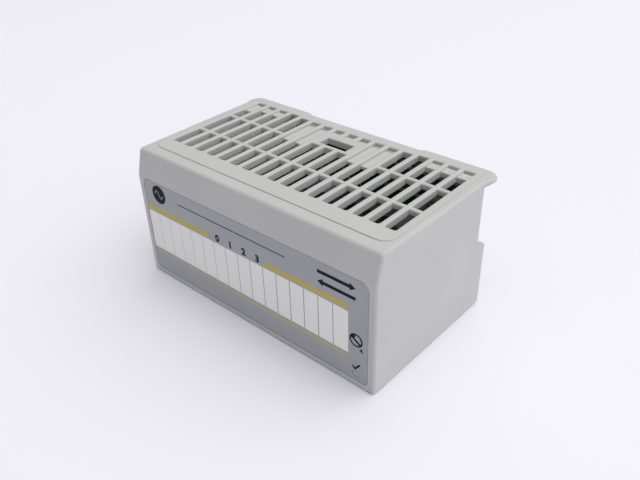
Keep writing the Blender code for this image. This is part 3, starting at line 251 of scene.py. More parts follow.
FUSE_LEGS = 2.54 * MM
LEAD_PITCH = 1.27 * MM
LEAD_THICKNESS = 0.2 * MM
LEAD_KNEE = 0.45
CHIP_LEADS = (
    ("processor_chip", "xz", LEAD_PITCH, 0.45 * MM, 1.0 * MM),
    ("converter_chip", "x", LEAD_PITCH, 0.42 * MM, 1.4 * MM),
    ("optocoupler", "x", 2 * LEAD_PITCH, 0.6 * MM, 1.2 * MM),
)
DOT_INSET = 1.4 * MM
DOT_RADIUS = 0.5 * MM

# Board print
REAR_STEMS = (
    "transformer_core", "electrolytic_capacitor", "rectifier_diode", "power_inductor", "input_fuse",
    "link_header",
)
FRONT_STEMS = (
    "processor_chip", "converter_chip", "crystal_can", "resistor_network", "optocoupler", "film_capacitor",
)
TRACE_WIDTH = 0.35 * MM
TRACE_LAP = 0.4
TRACES = 22
TRACE_PITCH = 2.9 * MM
TRACE_SHIFT = 1.1 * MM
TRACE_FOOT = 2.0 * MM
TRACE_HEAD = 1.5 * MM
TRACE_STAGGER = 1.0 * MM
BACK_TRACE_SHIFT = 1.3 * MM
BACK_TRACE_INSET = 2.5 * MM
SILK_WIDTH = 0.2 * MM
SILK_GAP = 0.5 * MM
PAD_RADIUS = 3.6 * MM
PAD_BORE = 1.3 * SHANK_RADIUS
JOINT_RADIUS = 0.75 * MM
JOINT_TIP_RADIUS = 0.3 * JOINT_RADIUS
JOINT_HEIGHT = 0.7 * MM
JOINT_SPREAD = 0.3

# Colours
HOOD_GREY = (0.55, 0.55, 0.545)
FILM_GREY = (0.385, 0.40, 0.427)
CARD_WHITE = (0.90, 0.90, 0.88)
INK_GOLD = (0.60, 0.48, 0.115)
INK_KHAKI = (0.52, 0.485, 0.29)
WORN_KHAKI = (0.48, 0.465, 0.36)
INK_DARK = (0.007, 0.009, 0.014)
INK_SHINE = 0.15
# Painted shade on the inside of the hood and of the rear cover
INSIDE_SHADE = (0.03, 0.03, 0.032)
# Painted shade on the front board's upper edge, under the vents
BOARD_EDGE_SHADE = (0.004, 0.003, 0.003)
BOARD_SHINE = 0.2
# Painted shade on the blanks that close the vents over the rear cover
VENT_SHADE_BLACK = (0.006, 0.006, 0.006)
VENT_SHINE = 0.15
# Painted shade in the troughs at the vents' rear ends, tinted yellowish
TROUGH_SHADE_GREY = (0.42, 0.41, 0.35)
INK_GREY = (0.28, 0.28, 0.28)
WORN_GREY = (0.70, 0.70, 0.69)
EMBLEM_GREY = (0.34, 0.34, 0.34)

# Surfaces
GRAIN_SIZE = 0.3 * MM
DRIFT_SIZE = 22 * MM
GRAIN_STRENGTH = 0.35
METAL_GRAIN_DEPTH = 0.005 * MM
NOISE_RANGE = (0.3, 0.7)
FLECK_RANGE = (0.1, 0.6)
MIX_UNDER, MIX_OVER, MIX_RESULT = 6, 7, 2

# Studio
FLOOR_HALF = 3.0
FLOOR_COLOUR = (0.90, 0.89, 0.96)
FLOOR_ROUGHNESS = 0.9
FLOOR_SHINE = 0.1
SKY_COLOUR = (1.0, 1.0, 1.0)
SKY_BRIGHT_SIDE = Vector((0.307, 0.215, 0.927))
SKY_LEVEL = 1.39
BACKDROP_LEVEL = 0.85
AIM = Vector((0, 0, 0.02))
LAMPS = (("key", (0.45, 0.3, 1.15), 1.2, 3.0),)

# Photograph's camera
CAMERA_PLACE = Vector((120.45, FRONT_FACE / MM - 102.93, 132.18)) * MM
CAMERA_FORWARD = Vector((-0.55695, 0.62481, -0.54719))
CAMERA_UP = Vector((-0.3439, 0.4262, 0.8367))
CAMERA_LENS = 38.08
SENSOR = 36.0
CAMERA_NEAR = 0.01

# Outline planes: along the case, across the case, lying flat
SIDE = Matrix(((0, 0, 1, 0), (1, 0, 0, 0), (0, 1, 0, 0), (0, 0, 0, 1)))
FRONT = Matrix(((1, 0, 0, 0), (0, 0, -1, 0), (0, 1, 0, 0), (0, 0, 0, 1)))
FLAT = Matrix.Identity(4)
ARC_SEGMENTS = 8
SHARP_ANGLE = math.radians(38)
SOFTEN_ANGLE = math.radians(50)
FLAT_ANGLE = math.radians(0.2)


def push(bm, faces, way):
    """Make a solid of flat faces by pushing them along a vector."""
    pushed = bmesh.ops.extrude_face_region(bm, geom=faces)["geom"]
    raised = [item for item in pushed if isinstance(item, bmesh.types.BMVert)]
    bmesh.ops.translate(bm, verts=raised, vec=way)


def prism(corners, start, end, axes):
    """Solid from an outline of (u, v, reach) corners, each rounded over its reach, between two levels."""
    bm = bmesh.new()
    verts = [bm.verts.new((u, v, start)) for u, v, _ in corners]
    bm.faces.new(verts)
    for vert, (_, _, reach) in zip(verts, corners):
        if reach:
            bmesh.ops.bevel(
                bm, geom=[vert], offset=reach, offset_type="OFFSET", segments=ARC_SEGMENTS, profile=0.5,
                affect="VERTICES", material=-1,
            )
    push(bm, bm.faces[:], (0, 0, end - start))
    bm.transform(axes)
    bmesh.ops.recalc_face_normals(bm, faces=bm.faces)
    return bm


def rectangle(left, right, low, high, reaches=(0, 0, 0, 0)):
    """Outline corners, with reaches from the lower left corner round to the upper left."""
    places = ((left, low), (right, low), (right, high), (left, high))
    return [(u, v, reach) for (u, v), reach in zip(places, reaches)]


def block(low, high):
    """Box between two corners."""
    bm = bmesh.new()
    low, high = Vector(low), Vector(high)
    place = Matrix.Translation((low + high) / 2) @ Matrix.Diagonal((*(high - low), 1))
    bmesh.ops.create_cube(bm, size=1, matrix=place)
    return bm


def round_bar(start, end, radius, sides=32, tip_radius=None):
    """Capped cylinder, or cone with a tip radius, between two points."""
    bm = bmesh.new()
    start, end = Vector(start), Vector(end)
    along = end - start
    place = Matrix.Translation((start + end) / 2) @ along.to_track_quat("Z", "Y").to_matrix().to_4x4()
    tip = radius if tip_radius is None else tip_radius
    bmesh.ops.create_cone(
        bm, cap_ends=True, segments=sides, radius1=radius, radius2=tip, depth=along.length, matrix=place
    )
    return bm


def add(bm, *others):
    """Add other shapes to a bmesh, as they are, and free them."""
    for other in others:
        mesh = bpy.data.meshes.new("part")
        other.to_mesh(mesh)
        other.free()
        bm.from_mesh(mesh)
        bpy.data.meshes.remove(mesh)
    return bm


def linked(name, data):
    """Object with its data, in the scene."""
    made = bpy.data.objects.new(name, data)
    bpy.context.scene.collection.objects.link(made)
    return made


def loose_object(name, bm):
    mesh = bpy.data.meshes.new(name)
    bm.to_mesh(mesh)
    bm.free()
    return linked(name, mesh)


def finished(made):
    """Shape of an object with its modifiers done."""
    depsgraph = bpy.context.evaluated_depsgraph_get()
    mesh = bpy.data.meshes.new_from_object(made.evaluated_get(depsgraph))
    bm = bmesh.new()
    bm.from_mesh(mesh)
    bpy.data.meshes.remove(mesh)
    return bm


def carve(bm, tool):
    """Cut a tool's shape out of a solid."""
    target, cutter = loose_object("target", bm), loose_object("cutter", tool)
    modifier = target.modifiers.new("carve", "BOOLEAN")
    modifier.operation = "DIFFERENCE"
    modifier.solver = "EXACT"
    modifier.object = cutter
    carved = finished(target)
    for item in (target, cutter):
        bpy.data.meshes.remove(item.data)
    return carved


def tidy(bm):
    """Merge doubles and flat neighbours that a cut leaves behind."""
    bmesh.ops.remove_doubles(bm, verts=bm.verts, dist=TINY)
    bmesh.ops.dissolve_limit(bm, angle_limit=FLAT_ANGLE, verts=bm.verts, edges=bm.edges)
    return bm


def edges_where(bm, test):
    return [edge for edge in bm.edges if all(test(vert.co) for vert in edge.verts)]


def near(value, place):
    return abs(value - place) < TINY


def bevel(bm, edges, width, segments=2):
    bmesh.ops.bevel(
        bm, geom=edges, offset=width, offset_type="OFFSET", segments=segments, profile=0.5, affect="EDGES",
        clamp_overlap=True, material=-1,
    )
    return bm


def soften(bm, width, segments=2, test=None):
    """Ease the sharp outer edges, all of them or those whose points pass a test."""
    sharp = [
        edge
        for edge in bm.edges
        if len(edge.link_faces) == 2
        and edge.calc_face_angle_signed() > SOFTEN_ANGLE
        and (test is None or all(test(vert.co) for vert in edge.verts))
    ]
    return bevel(bm, sharp, width, segments)


def piece(name, bm, material, body, replaced=()):
    """A finished piece that rides on a body."""
    bmesh.ops.recalc_face_normals(bm, faces=bm.faces)
    made = loose_object(name, bm)
    made.data.materials.append(material)
    made.data.shade_smooth()
    made.data.set_sharp_from_angle(angle=SHARP_ANGLE)
    weighted = made.modifiers.new("flat faces stay flat", "WEIGHTED_NORMAL")
    weighted.keep_sharp = True
    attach(made, body)
    if replaced:
        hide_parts(*replaced)
    return made


def feed(tree, node, inputs):
    """Give a node's inputs their values, or the outputs that feed them."""
    for name, value in inputs.items():
        if isinstance(value, bpy.types.NodeSocket):
            tree.links.new(value, node.inputs[name])
        else:
            node.inputs[name].default_value = value
    return node


def add_node(tree, kind, inputs=None, **settings):
    node = tree.nodes.new(kind)
    for name, value in settings.items():
        setattr(node, name, value)
    return feed(tree, node, inputs or {})


def calculate(tree, operation, one, other):
    return add_node(tree, "ShaderNodeMath", {0: one, 1: other}, operation=operation).outputs["Value"]


def opaque(colour):
    return (*colour, 1.0)


def make_group(name, inputs, outputs):
    """Empty shader group with (name, default) inputs and named value outputs."""
    tree = bpy.data.node_groups.new(name, "ShaderNodeTree")
    for label, default in inputs:
        socket = tree.interface.new_socket(label, in_out="INPUT", socket_type="NodeSocketFloat")
        socket.default_value = default
    for label in outputs:
        tree.interface.new_socket(label, in_out="OUTPUT", socket_type="NodeSocketFloat")
    return tree, tree.nodes.new("NodeGroupInput"), tree.nodes.new("NodeGroupOutput")


def noise(tree, place, size, detail=2.0, roughness=0.5):
    """Noise with features of a size in metres."""
    scale = calculate(tree, "DIVIDE", 1.0, size)
    inputs = {"Vector": place, "Scale": scale, "Detail": detail, "Roughness": roughness}
    return add_node(tree, "ShaderNodeTexNoise", inputs).outputs["Fac"]


def moulding_group():
    """Fine spark-eroded grain, with a slow drift of tone, as a moulded case has."""
    tree, given, out = make_group(
        "moulding_surface", (("Grain Size", GRAIN_SIZE), ("Drift Size", DRIFT_SIZE)),
        ("Grain", "Drift", "Fleck"),
    )
    place = add_node(tree, "ShaderNodeTexCoord").outputs["Object"]
    grain_size, drift_size = given.outputs["Grain Size"], given.outputs["Drift Size"]
    inputs = {"Vector": place, "Scale": calculate(tree, "DIVIDE", 1.0, grain_size)}
    flecks = add_node(tree, "ShaderNodeTexVoronoi", inputs, feature="F1")
    feed(tree, out, {
        "Grain": noise(tree, place, grain_size, 3.0, 0.6),
        "Drift": noise(tree, place, drift_size, 4.0),
        "Fleck": flecks.outputs["Distance"],
    })
    return tree


def ramp(tree, value, *stops):
    """Colour ramp over (place, colour) stops."""
    node = add_node(tree, "ShaderNodeValToRGB", {"Fac": value})
    elements = node.color_ramp.elements
    while len(elements) < len(stops):
        elements.new(1.0)
    for element, (place, colour) in zip(elements, stops):
        element.position = place
        element.color = opaque(colour)
    return node.outputs["Color"]


def spread_value(tree, value, low, high, start, end):
    """Map a value between start and end onto a range."""
    inputs = {"Value": value, "From Min": start, "From Max": end, "To Min": low, "To Max": high}
    return add_node(tree, "ShaderNodeMapRange", inputs).outputs["Result"]


def new_material(name):
    material = bpy.data.materials.new(name)
    material.use_nodes = True
    return material, material.node_tree, shader_of(material)


def shader_of(material):
    return material.node_tree.nodes["Principled BSDF"]


def split_place(tree):
    """The object's own coordinates, as the outputs X, Y and Z."""
    place = add_node(tree, "ShaderNodeTexCoord").outputs["Object"]
    return add_node(tree, "ShaderNodeSeparateXYZ", {"Vector": place}).outputs


def tinted(colour, share):
    return tuple(min(1.0, channel * share) for channel in colour)


def inside_group():
    """One inside a box, nothing outside it."""
    limits = [(f"{end} {axis}", 0.0) for axis in "XYZ" for end in ("Low", "High")]
    tree, given, out = make_group("inside_box", limits, ("Inside",))
    place = split_place(tree)
    within = None
    for axis in "XYZ":
        for end, operation in (("Low", "GREATER_THAN"), ("High", "LESS_THAN")):
            test = calculate(tree, operation, place[axis], given.outputs[f"{end} {axis}"])
            within = calculate(tree, "MULTIPLY", within, test) if within else test
    feed(tree, out, {"Inside": within})
    return tree


GROUPS = {"moulding": moulding_group(), "inside": inside_group()}


def moulded(name, colour, roughness=0.5, grain=GRAIN_SIZE, depth=0.02 * MM, drift=0.025, gloss=0.06):
    """Moulded or printed surface: grain in the bump, drift in the tone, flecks in the gloss."""
    material, tree, shader = new_material(name)
    surface = add_node(tree, "ShaderNodeGroup", node_tree=GROUPS["moulding"])
    feed(tree, surface, {"Grain Size": grain})
    made = surface.outputs
    bumps = {"Strength": GRAIN_STRENGTH, "Distance": depth, "Height": made["Grain"]}
    tones = (tinted(colour, 1 - drift), tinted(colour, 1 + drift))
    feed(tree, shader, {
        "Base Color": ramp(tree, made["Drift"], *zip(NOISE_RANGE, tones)),
        "Roughness": spread_value(tree, made["Fleck"], roughness - gloss, roughness + gloss, *FLECK_RANGE),
        "Normal": add_node(tree, "ShaderNodeBump", bumps).outputs["Normal"],
    })
    return material


def mix_in(material, colour, share):
    """Lay a colour over a surface's own, by a share that a node gives."""
    tree, base = material.node_tree, shader_of(material).inputs["Base Color"]
    inputs = {"Factor": share, MIX_UNDER: base.links[0].from_socket, MIX_OVER: opaque(colour)}
    mix = add_node(tree, "ShaderNodeMix", inputs, data_type="RGBA")
    tree.links.new(mix.outputs[MIX_RESULT], base)
    return material


def shade_inside(material, low, high, colour):
    """Another colour on the part of a surface that lies inside a box."""
    tree = material.node_tree
    mask = add_node(tree, "ShaderNodeGroup", node_tree=GROUPS["inside"])
    for axis, start, end in zip("XYZ", low, high):
        feed(tree, mask, {f"Low {axis}": start, f"High {axis}": end})
    return mix_in(material, colour, mask.outputs["Inside"])


def metal(name, colour, roughness, grain=0.2 * MM):
    material = moulded(name, colour, roughness, grain, METAL_GRAIN_DEPTH)
    shader_of(material).inputs["Metallic"].default_value = 1.0
    return material


def moulded_panel():
    """Case plastic, with painted shade in the troughs at the vents' rear ends: darker and yellowish there.
    """
    material = moulded("vent_plastic", HOOD_GREY)
    low = (-PANEL_HALF, REAR_ROW_END - TROUGH_LENGTH - FIT, PANEL_HIGH.z - TROUGH_DEPTH - FIT)
    high = (PANEL_HALF, CORNER_ROW_END + SEAM, PANEL_HIGH.z - POCKET_DEPTH - FIT)
    return shade_inside(material, low, high, TROUGH_SHADE_GREY)


def hood_outline():
    top = HOOD_HIGH.z
    low = HOOD_LOW.z
    return [
        (FRONT_FACE, low, 0),
        (HOOD_HIGH.y, low, 0),
        (HOOD_HIGH.y, SHOULDER_LOW, SHOULDER_REACH),
        (UPPER_REAR, SHOULDER_TOP, 0),
        (UPPER_REAR, top, 0),
        (FRONT_FACE + BAND_LEAN, top, TOP_FRONT_REACH),
        (FRONT_FACE, top - BAND_HEIGHT, BAND_FOLD_REACH),
    ]


def inside_outline():
    """Inside of the hood, open to the rear."""
    top = HOOD_HIGH.z - SEAT_DEPTH - LEDGE_THICKNESS
    low = HOOD_LOW.z + SEAT_DEPTH + LEDGE_THICKNESS
    fold = HOOD_HIGH.z - BAND_HEIGHT
    lean = BAND_LEAN * (top - fold) / BAND_HEIGHT
    front = FRONT_FACE + WALL
    rear = HOOD_HIGH.y + THROUGH
    return [(front, low, 0), (rear, low, 0), (rear, top, 0), (front + lean, top, 0), (front, fold, 0)]


def draw_in_sides(bm):
    """Draft of the side walls, which close in towards the front."""
    for vert in bm.verts:
        inward = SIDE_DRAFT * (UPPER_REAR - vert.co.y) / (UPPER_REAR - FRONT_FACE)
        vert.co.x -= math.copysign(inward, vert.co.x)
    return bm


def panel_plan(grow, rear):
    """Plan of a vent panel's seat, with round front corners."""
    half = PANEL_HALF + grow
    radius = PANEL_CORNER_RADIUS + grow
    return rectangle(-half, half, PANEL_LOW.y - grow, rear, (radius, radius, 0, 0))


def label_plan(grow):
    low, high = LABEL_LOW, LABEL_HIGH
    bottom = LABEL_BOTTOM_RADIUS - FIT + grow
    top = LABEL_TOP_RADIUS - FIT + grow
    foot = low.z + LABEL_FOOT - grow
    return rectangle(low.x - grow, high.x + grow, foot, high.z + grow, (bottom, bottom, top, top))


def make_hood(material):
    bm = draw_in_sides(prism(hood_outline(), -HOOD_HALF, HOOD_HALF, SIDE))
    rims = [
        edge
        for edge in bm.edges
        if edge.verts[0].co.x * edge.verts[1].co.x > 0
        and min(vert.co.y for vert in edge.verts) < UPPER_REAR - TINY
    ]
    bevel(bm, rims, SIDE_EDGE_RADIUS, 6)
    foot = edges_where(bm, lambda co: near(co.z, HOOD_LOW.z) and near(co.y, HOOD_HIGH.y))
    bevel(bm, foot, FOOT_RADIUS, 4)
    foot = edges_where(bm, lambda co: near(co.z - HOOD_LOW.z, co.y - FRONT_FACE))
    bevel(bm, foot, FRONT_FOOT_RADIUS, 4)
    bm = carve(bm, draw_in_sides(prism(inside_outline(), WALL - HOOD_HALF, HOOD_HALF - WALL, SIDE)))
    rear = HOOD_HIGH.y + THROUGH
    over, under = HOOD_HIGH.z + THROUGH, HOOD_LOW.z - THROUGH
    top_seat, low_seat = HOOD_HIGH.z - SEAT_DEPTH, HOOD_LOW.z + SEAT_DEPTH
    bm = carve(bm, prism(panel_plan(-LEDGE_WIDTH, rear), top_seat - THROUGH, over, FLAT))
    bm = carve(bm, prism(panel_plan(FIT, rear), top_seat, over, FLAT))
    bm = carve(bm, prism(panel_plan(-LEDGE_WIDTH, rear), under, low_seat + THROUGH, FLAT))
    bm = carve(bm, prism(panel_plan(FIT, rear), under, low_seat, FLAT))
    bm = carve(bm, prism(label_plan(FIT), -FRONT_FACE - LABEL_RECESS, -FRONT_FACE + THROUGH, FRONT))
    lens = Vector((FIT, THROUGH, FIT))
    bm = carve(bm, block(LENS_LOW - lens, LENS_HIGH + lens))
    x, z = ROD_PLACE
    start, end = (x, FRONT_FACE + LABEL_RECESS, z), (x, FRONT_FACE + WALL + THROUGH, z)
    bm = carve(bm, round_bar(start, end, ROD_RADIUS + FIT, 24))
    tidy(bm)
    seat = PANEL_HALF + FIT

    def eased(co):
        beside_panel = near(abs(co.x), seat) and co.z > top_seat
        under_lip = near(co.y, UPPER_REAR) and co.z > top_seat - TINY
        return not beside_panel and not under_lip

    soften(bm, RIM_EDGE, test=eased)
    for vert in bm.verts:
        vert.co.y = max(vert.co.y, FRONT_FACE)
    for name in numbered("cover_screw"):
        add(bm, *screw_boss(name))
    return piece("hood_shell", bm, material, "hood", ["front_hood"])


def screw_boss(name):
    """Boss with a blind hole for a cover screw, and the rib that joins it to the side wall."""
    low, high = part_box(name)
    x, z = middle_of(low, high)
    end = high.y - HEAD_HEIGHT - FIT - WALL - BOSS_GAP
    floor = BOSS_LENGTH - (end - low.y + FIT)
    bore, ease = SHANK_RADIUS + FIT, BOSS_EASE
    profile = [
        (0, 0), (BOSS_RADIUS - ease, 0), (BOSS_RADIUS, ease), (BOSS_RADIUS, BOSS_LENGTH - ease),
        (BOSS_RADIUS - ease, BOSS_LENGTH), (bore + ease, BOSS_LENGTH), (bore, BOSS_LENGTH - ease),
        (bore, floor), (0, floor),
    ]
    boss = lathe(profile, (x, end - BOSS_LENGTH, z), (0, 1, 0))
    inner, outer = sorted((x + math.copysign(bore + ease, x), math.copysign(HOOD_HALF - WALL / 2, x)))
    rib = block((inner, end - BOSS_LENGTH + FIT, z - BOSS_RIB / 2), (outer, end - FIT, z + BOSS_RIB / 2))
    return boss, rib


def arc(centre, radius, start, end, segments=6):
    """Points of an arc between two angles, in degrees."""
    x, y = centre
    angles = [math.radians(start + (end - start) * step / segments) for step in range(segments + 1)]
    return [(x + radius * math.cos(angle), y + radius * math.sin(angle)) for angle in angles]


def half_column(middle, side, edge, front, rear, slots, corner=0.0):
    """Plan of half a column of the vent field, from its middle line out to an edge, round its slots.

    A slot is (start, end, half width, end radius), and one with no width only marks its ends.
    """
    points = [(0, front)]
    for start, end, half, radius in slots:
        points.append((0, start))
        if radius:
            points += arc((half - radius, start + radius), radius, -90, 0, 4)
        elif half:
            points.append((half, start))
        if half:
            points.append((half, end))
        points.append((0, end))
    points += [(0, rear), (edge, rear)]
    points += arc((edge - corner, front + corner), corner, 0, -90) if corner else [(edge, front)]
    return [(middle + side * x, y) for x, y in points]


def vent_sheet(columns, front, rear, half, level, latch=None):
    """Flat sheet of half columns. A column's slots are given by its number of steps from the middle."""
    bm = bmesh.new()
    for step in range(-VENT_STEPS, VENT_STEPS + 1):
        for side in (-1, 1):
            last = step * side == VENT_STEPS
            edge = half - VENT_STEPS * VENT_PITCH if last else VENT_PITCH / 2
            corner = min(PANEL_CORNER_RADIUS, edge - FINE_EDGE) if last else 0.0
            slots = columns[abs(step)]
            parts = [(front, rear, slots)]
            if latch and abs(step) == LATCH_STEPS and step * side > 0:
                parts = [(front, rear, sorted(slots + [(*latch, 0.0, 0.0)]))]
            elif latch and abs(step) <= LATCH_STEPS:
                before = [slot for slot in slots if slot[1] < latch[0]]
                after = [slot for slot in slots if slot[0] > latch[1]]
                parts = [(front, latch[0], before), (latch[1], rear, after)]
            for start, end, part in parts:
                plan = half_column(step * VENT_PITCH, side, edge, start, end, part, corner)
                bm.faces.new([bm.verts.new((x, y, level)) for x, y in plan])
    bmesh.ops.remove_doubles(bm, verts=bm.verts, dist=TINY)
    for face in bm.faces:
        if face.normal.z < 0:
            face.normal_flip()
    bmesh.ops.solidify(bm, geom=bm.faces[:], thickness=PANEL_THICKNESS)
    return bm


def soften_slots(bm, level):
    """Round over the slats at a level, and ease the outer edge of the field there."""
    outermost = VENT_STEPS * VENT_PITCH + SLOT_HALF

    def in_slots(co):
        along = FRONT_ROW_START - TINY < co.y < CORNER_ROW_END + TINY
        return near(co.z, level) and along and abs(co.x) < outermost + TINY

    soften(bm, SLAT_EDGE, 3, in_slots)
    soften(bm, FIELD_EDGE, 2, lambda co: near(co.z, level))


def slot_fill(x, start, end, low, high, edge, segments=3):
    """Bar across a slot, eased along its ends, with its sides sunk in the slats."""
    reach = SLOT_HALF + PLUG_LAP
    bm = block((x - reach, start, low), (x + reach, end, high))
    across = [link for link in bm.edges if abs(link.verts[0].co.x - link.verts[1].co.x) > reach]
    return bevel(bm, across, edge, segments)


def make_top_panel(material, dark):
    """Vent field a step above the rims, joined to the lip that overhangs the rear."""
    top = PANEL_HIGH.z
    bottom = top - PANEL_THICKNESS
    front_bar, rear_bar = (FRONT_ROW_END, MIDDLE_ROW_START), (MIDDLE_ROW_END, REAR_ROW_START)
    columns, fills, blanks = [], [], []
    for step in range(VENT_STEPS + 1):
        end = CORNER_ROW_END if step >= OPEN_STEPS else REAR_ROW_END
        slots = [(FRONT_ROW_START, end, SLOT_HALF, SLOT_END_RADIUS)]
        bars, pockets = [front_bar, rear_bar], []
        if step <= PLATE_STEPS:
            slots = [(FRONT_ROW_START, LATCH_START - CROSSBAR, SLOT_HALF, SLOT_END_RADIUS)]
            slots.append((PLATE_POCKET_START, end, SLOT_HALF, 0.0))
            bars, pockets = [front_bar], [PLATE_POCKET_START, PLATE_POCKET_START]
        elif step <= CHANNEL_STEPS:
            bars, pockets = [front_bar], [CHANNEL_START, CHANNEL_START]
        elif step > OPEN_STEPS:
            pockets = [END_POCKET_START if step == VENT_STEPS else CORNER_POCKET_START, CORNER_POCKET_START]
        columns.append(slots)
        closed = CHANNEL_STEPS < step <= OPEN_STEPS
        for side in (-1, 1) if step else (1,):
            x = side * step * VENT_PITCH
            fills += [slot_fill(x, *bar, bottom, top - CROSSBAR_DROP, CROSSBAR_EDGE, 4) for bar in bars]
            # Painted shade: the blank that closes these slots over the rear cover is near black.
            if closed:
                low = COVER_HIGH.z + SEAM
                high = top - CLOSED_DEPTH
                blanks.append(slot_fill(x, INSIDE_REAR, end + FIT, low, high, FINE_EDGE, 1))
            if pockets:
                start = pockets[0 if side < 0 else 1]
                trough = end - (TROUGH_LENGTH if step <= CHANNEL_STEPS else CORNER_TROUGH_LENGTH)
                depth = CHANNEL_DEPTH if PLATE_STEPS < step <= CHANNEL_STEPS else POCKET_DEPTH
                fills.append(slot_fill(x, start, trough, bottom, top - depth, TROUGH_EDGE))
                floor = top - TROUGH_DEPTH
                fills.append(slot_fill(x, trough - FIT, end + FIT, bottom, floor, FINE_EDGE, 1))
    half = PANEL_HALF + FIT
    bm = vent_sheet(columns, PANEL_LOW.y - FIT + SEAM, FIELD_END, half, top, (LATCH_START, LATCH_END))
    soften_slots(bm, top)
    add(bm, *fills, rear_lip())
    piece("vent_panel", bm, material, "hood", ["top_vent_panel"])
    piece("vent_shade_blanks", add(bmesh.new(), *blanks), dark, "hood")


def lip_path():
    """Right half of the lip's edge, from its front end round to the middle of the rear side.

    Each point is (x, y), the way in from the edge there, how far its section has gone over from the hood's
    to the lip's, and the (x, y) of the point inside the vent field that it is joined to.
    """
    half, root, start = PANEL_HIGH.x, LIP_WING_START, UPPER_REAR + TINY
    radius = LIP_CORNER_RADIUS
    centre = (half - radius, LIP_END - radius)
    corner = start + LIP_ROOT_RUN
    path = []
    for step in range(NOTCH_SEGMENTS):
        share = step / NOTCH_SEGMENTS
        place = (blend(HOOD_HALF, half, gentle(share)), blend(start, centre[1], share))
        path.append((place, (-1, 0), share, (root, blend(start, corner, share))))
    for x, y in arc(centre, radius, 0, 90, 10):
        way = ((centre[0] - x) / radius, (centre[1] - y) / radius)
        turn = math.atan2(y - centre[1], x - centre[0]) / (math.pi / 2)
        path.append(((x, y), way, 1.0, (root, blend(corner, LIP_START, turn))))
    for step in range(NOTCH_SEGMENTS + 1):
        share = step / NOTCH_SEGMENTS
        x = LIP_NOTCH_HALF + NOTCH_BLEND * (0.5 - share)
        path.append(((x, LIP_END - LIP_NOTCH_DEPTH * gentle(share)), (0, -1), 1.0, (x, LIP_START)))
    return path


def blend(one, other, share):
    return one + (other - one) * share


def gentle(share):
    """Share that starts and ends slowly."""
    return share * share * (3 - 2 * share)


def lip_section(share):
    """Edge of the lip, as (way in, height) points from its underside up to its top."""
    top = HOOD_HIGH.z
    reach = blend(SIDE_EDGE_RADIUS, LIP_EDGE_RADIUS, share)
    drop = blend(SIDE_EDGE_RADIUS, LIP_EDGE_DROP, share)
    under = top - blend(LIP_ROOT_THICKNESS, LIP_THICKNESS, share)
    foot = LIP_UNDER_RADIUS
    points = [(x, under + y) for x, y in arc((foot, foot), foot, 270, 180, 3)]
    return points + [(x, top + y * drop / reach) for x, y in arc((reach, -reach), reach, 180, 90, 8)]


def rear_lip():
    """Lip round the rear end of the vent field: a rounded section, swept along its edge."""
    right = lip_path()
    left = [((-x, y), (-u, v), share, (-i, j)) for (x, y), (u, v), share, (i, j) in reversed(right)]
    bm = bmesh.new()
    rings = []
    for (x, y), (u, v), share, (i, j) in right + left:
        section = lip_section(share)
        ring = [bm.verts.new((i, j, section[0][1]))]
        ring += [bm.verts.new((x + u * reach, y + v * reach, level)) for reach, level in section]
        ring.append(bm.verts.new((i, j, section[-1][1])))
        rings.append(ring)
    for one, other in zip(rings, rings[1:]):
        for index in range(len(one)):
            after = (index + 1) % len(one)
            bm.faces.new((one[index], one[after], other[after], other[index]))
    for ring in (rings[0], rings[-1]):
        bm.faces.new(ring)
    bmesh.ops.recalc_face_normals(bm, faces=bm.faces)
    return bm


def make_bottom_panel(material):
    """Plain vent grid that the case stands on."""
    slot = (FRONT_ROW_START, FLOOR_ROW_END, SLOT_HALF, SLOT_END_RADIUS)
    low, high = FLOOR_PANEL_LOW.z, FLOOR_PANEL_HIGH.z
    half = PANEL_HALF + FIT
    front = PANEL_LOW.y - FIT + SEAM
    bm = vent_sheet([[slot]] * (VENT_STEPS + 1), front, FLOOR_PANEL_HIGH.y, half, high)
    soften_slots(bm, low)
    for step in range(-VENT_STEPS, VENT_STEPS + 1):
        for bar in ((FRONT_ROW_END, MIDDLE_ROW_START), (MIDDLE_ROW_END, REAR_ROW_START)):
            add(bm, slot_fill(step * VENT_PITCH, *bar, low + CROSSBAR_DROP, high, CROSSBAR_EDGE, 4))
    return piece("floor_vent_panel", bm, material, "hood", ["bottom_vent_panel"])


def window(low, high, radius=0.0):
    """Outline of an opening in the film for a piece, with a seam round it."""
    return rectangle(low.x - SEAM, high.x + SEAM, low.z - SEAM, high.z + SEAM, (radius,) * 4)


def make_label(film, card):
    """Printed film in the recess, with windows for the write-on strip and the light pipe."""
    front, back = -LABEL_LOW.y, -LABEL_HIGH.y
    bm = prism(label_plan(FIT - LABEL_GAP), back, front, FRONT)
    for hole in (window(STRIP_LOW, STRIP_HIGH), window(LENS_LOW, LENS_HIGH, LENS_RADIUS)):
        bm = carve(bm, prism(hole, back - THROUGH, front + THROUGH, FRONT))
    tidy(bm)
    soften(bm, FINE_EDGE, 1, lambda co: co.y < LABEL_LOW.y + TINY)
    piece("label_film", bm, film, "hood", ["label_overlay"])
    bm = block(STRIP_LOW, STRIP_HIGH)
    soften(bm, FINE_EDGE, 1, lambda co: co.y < STRIP_LOW.y + TINY)
    piece("field_strip", bm, card, "hood", ["write_on_strip"])


def ink(outline, layer=1, face=LABEL_LOW.y):
    """Thin printed shape on the label or another face, from (x, z) points."""
    return prism([(x, z, 0) for x, z in outline], -face - INK, -face + layer * INK, FRONT)


def ink_bar(left, right, low, high):
    return ink(((left, low), (right, low), (right, high), (left, high)))


def ink_line(points, width, layer=1):
    """Printed line of even width along points."""
    sides = ([], [])
    for index, (x, z) in enumerate(points):
        before = Vector(points[max(index - 1, 0)])
        after = Vector(points[min(index + 1, len(points) - 1)])
        here = Vector((x, z))
        ways = [way.normalized() for way in (here - before, after - here) if way.length > 0]
        along = sum(ways, Vector((0, 0))).normalized()
        reach = width / 2 / along.dot(ways[0])
        across = Vector((-along.y, along.x)) * reach
        sides[0].append(here + across)
        sides[1].append(here - across)
    return ink([tuple(point) for point in sides[0] + sides[1][::-1]], layer)


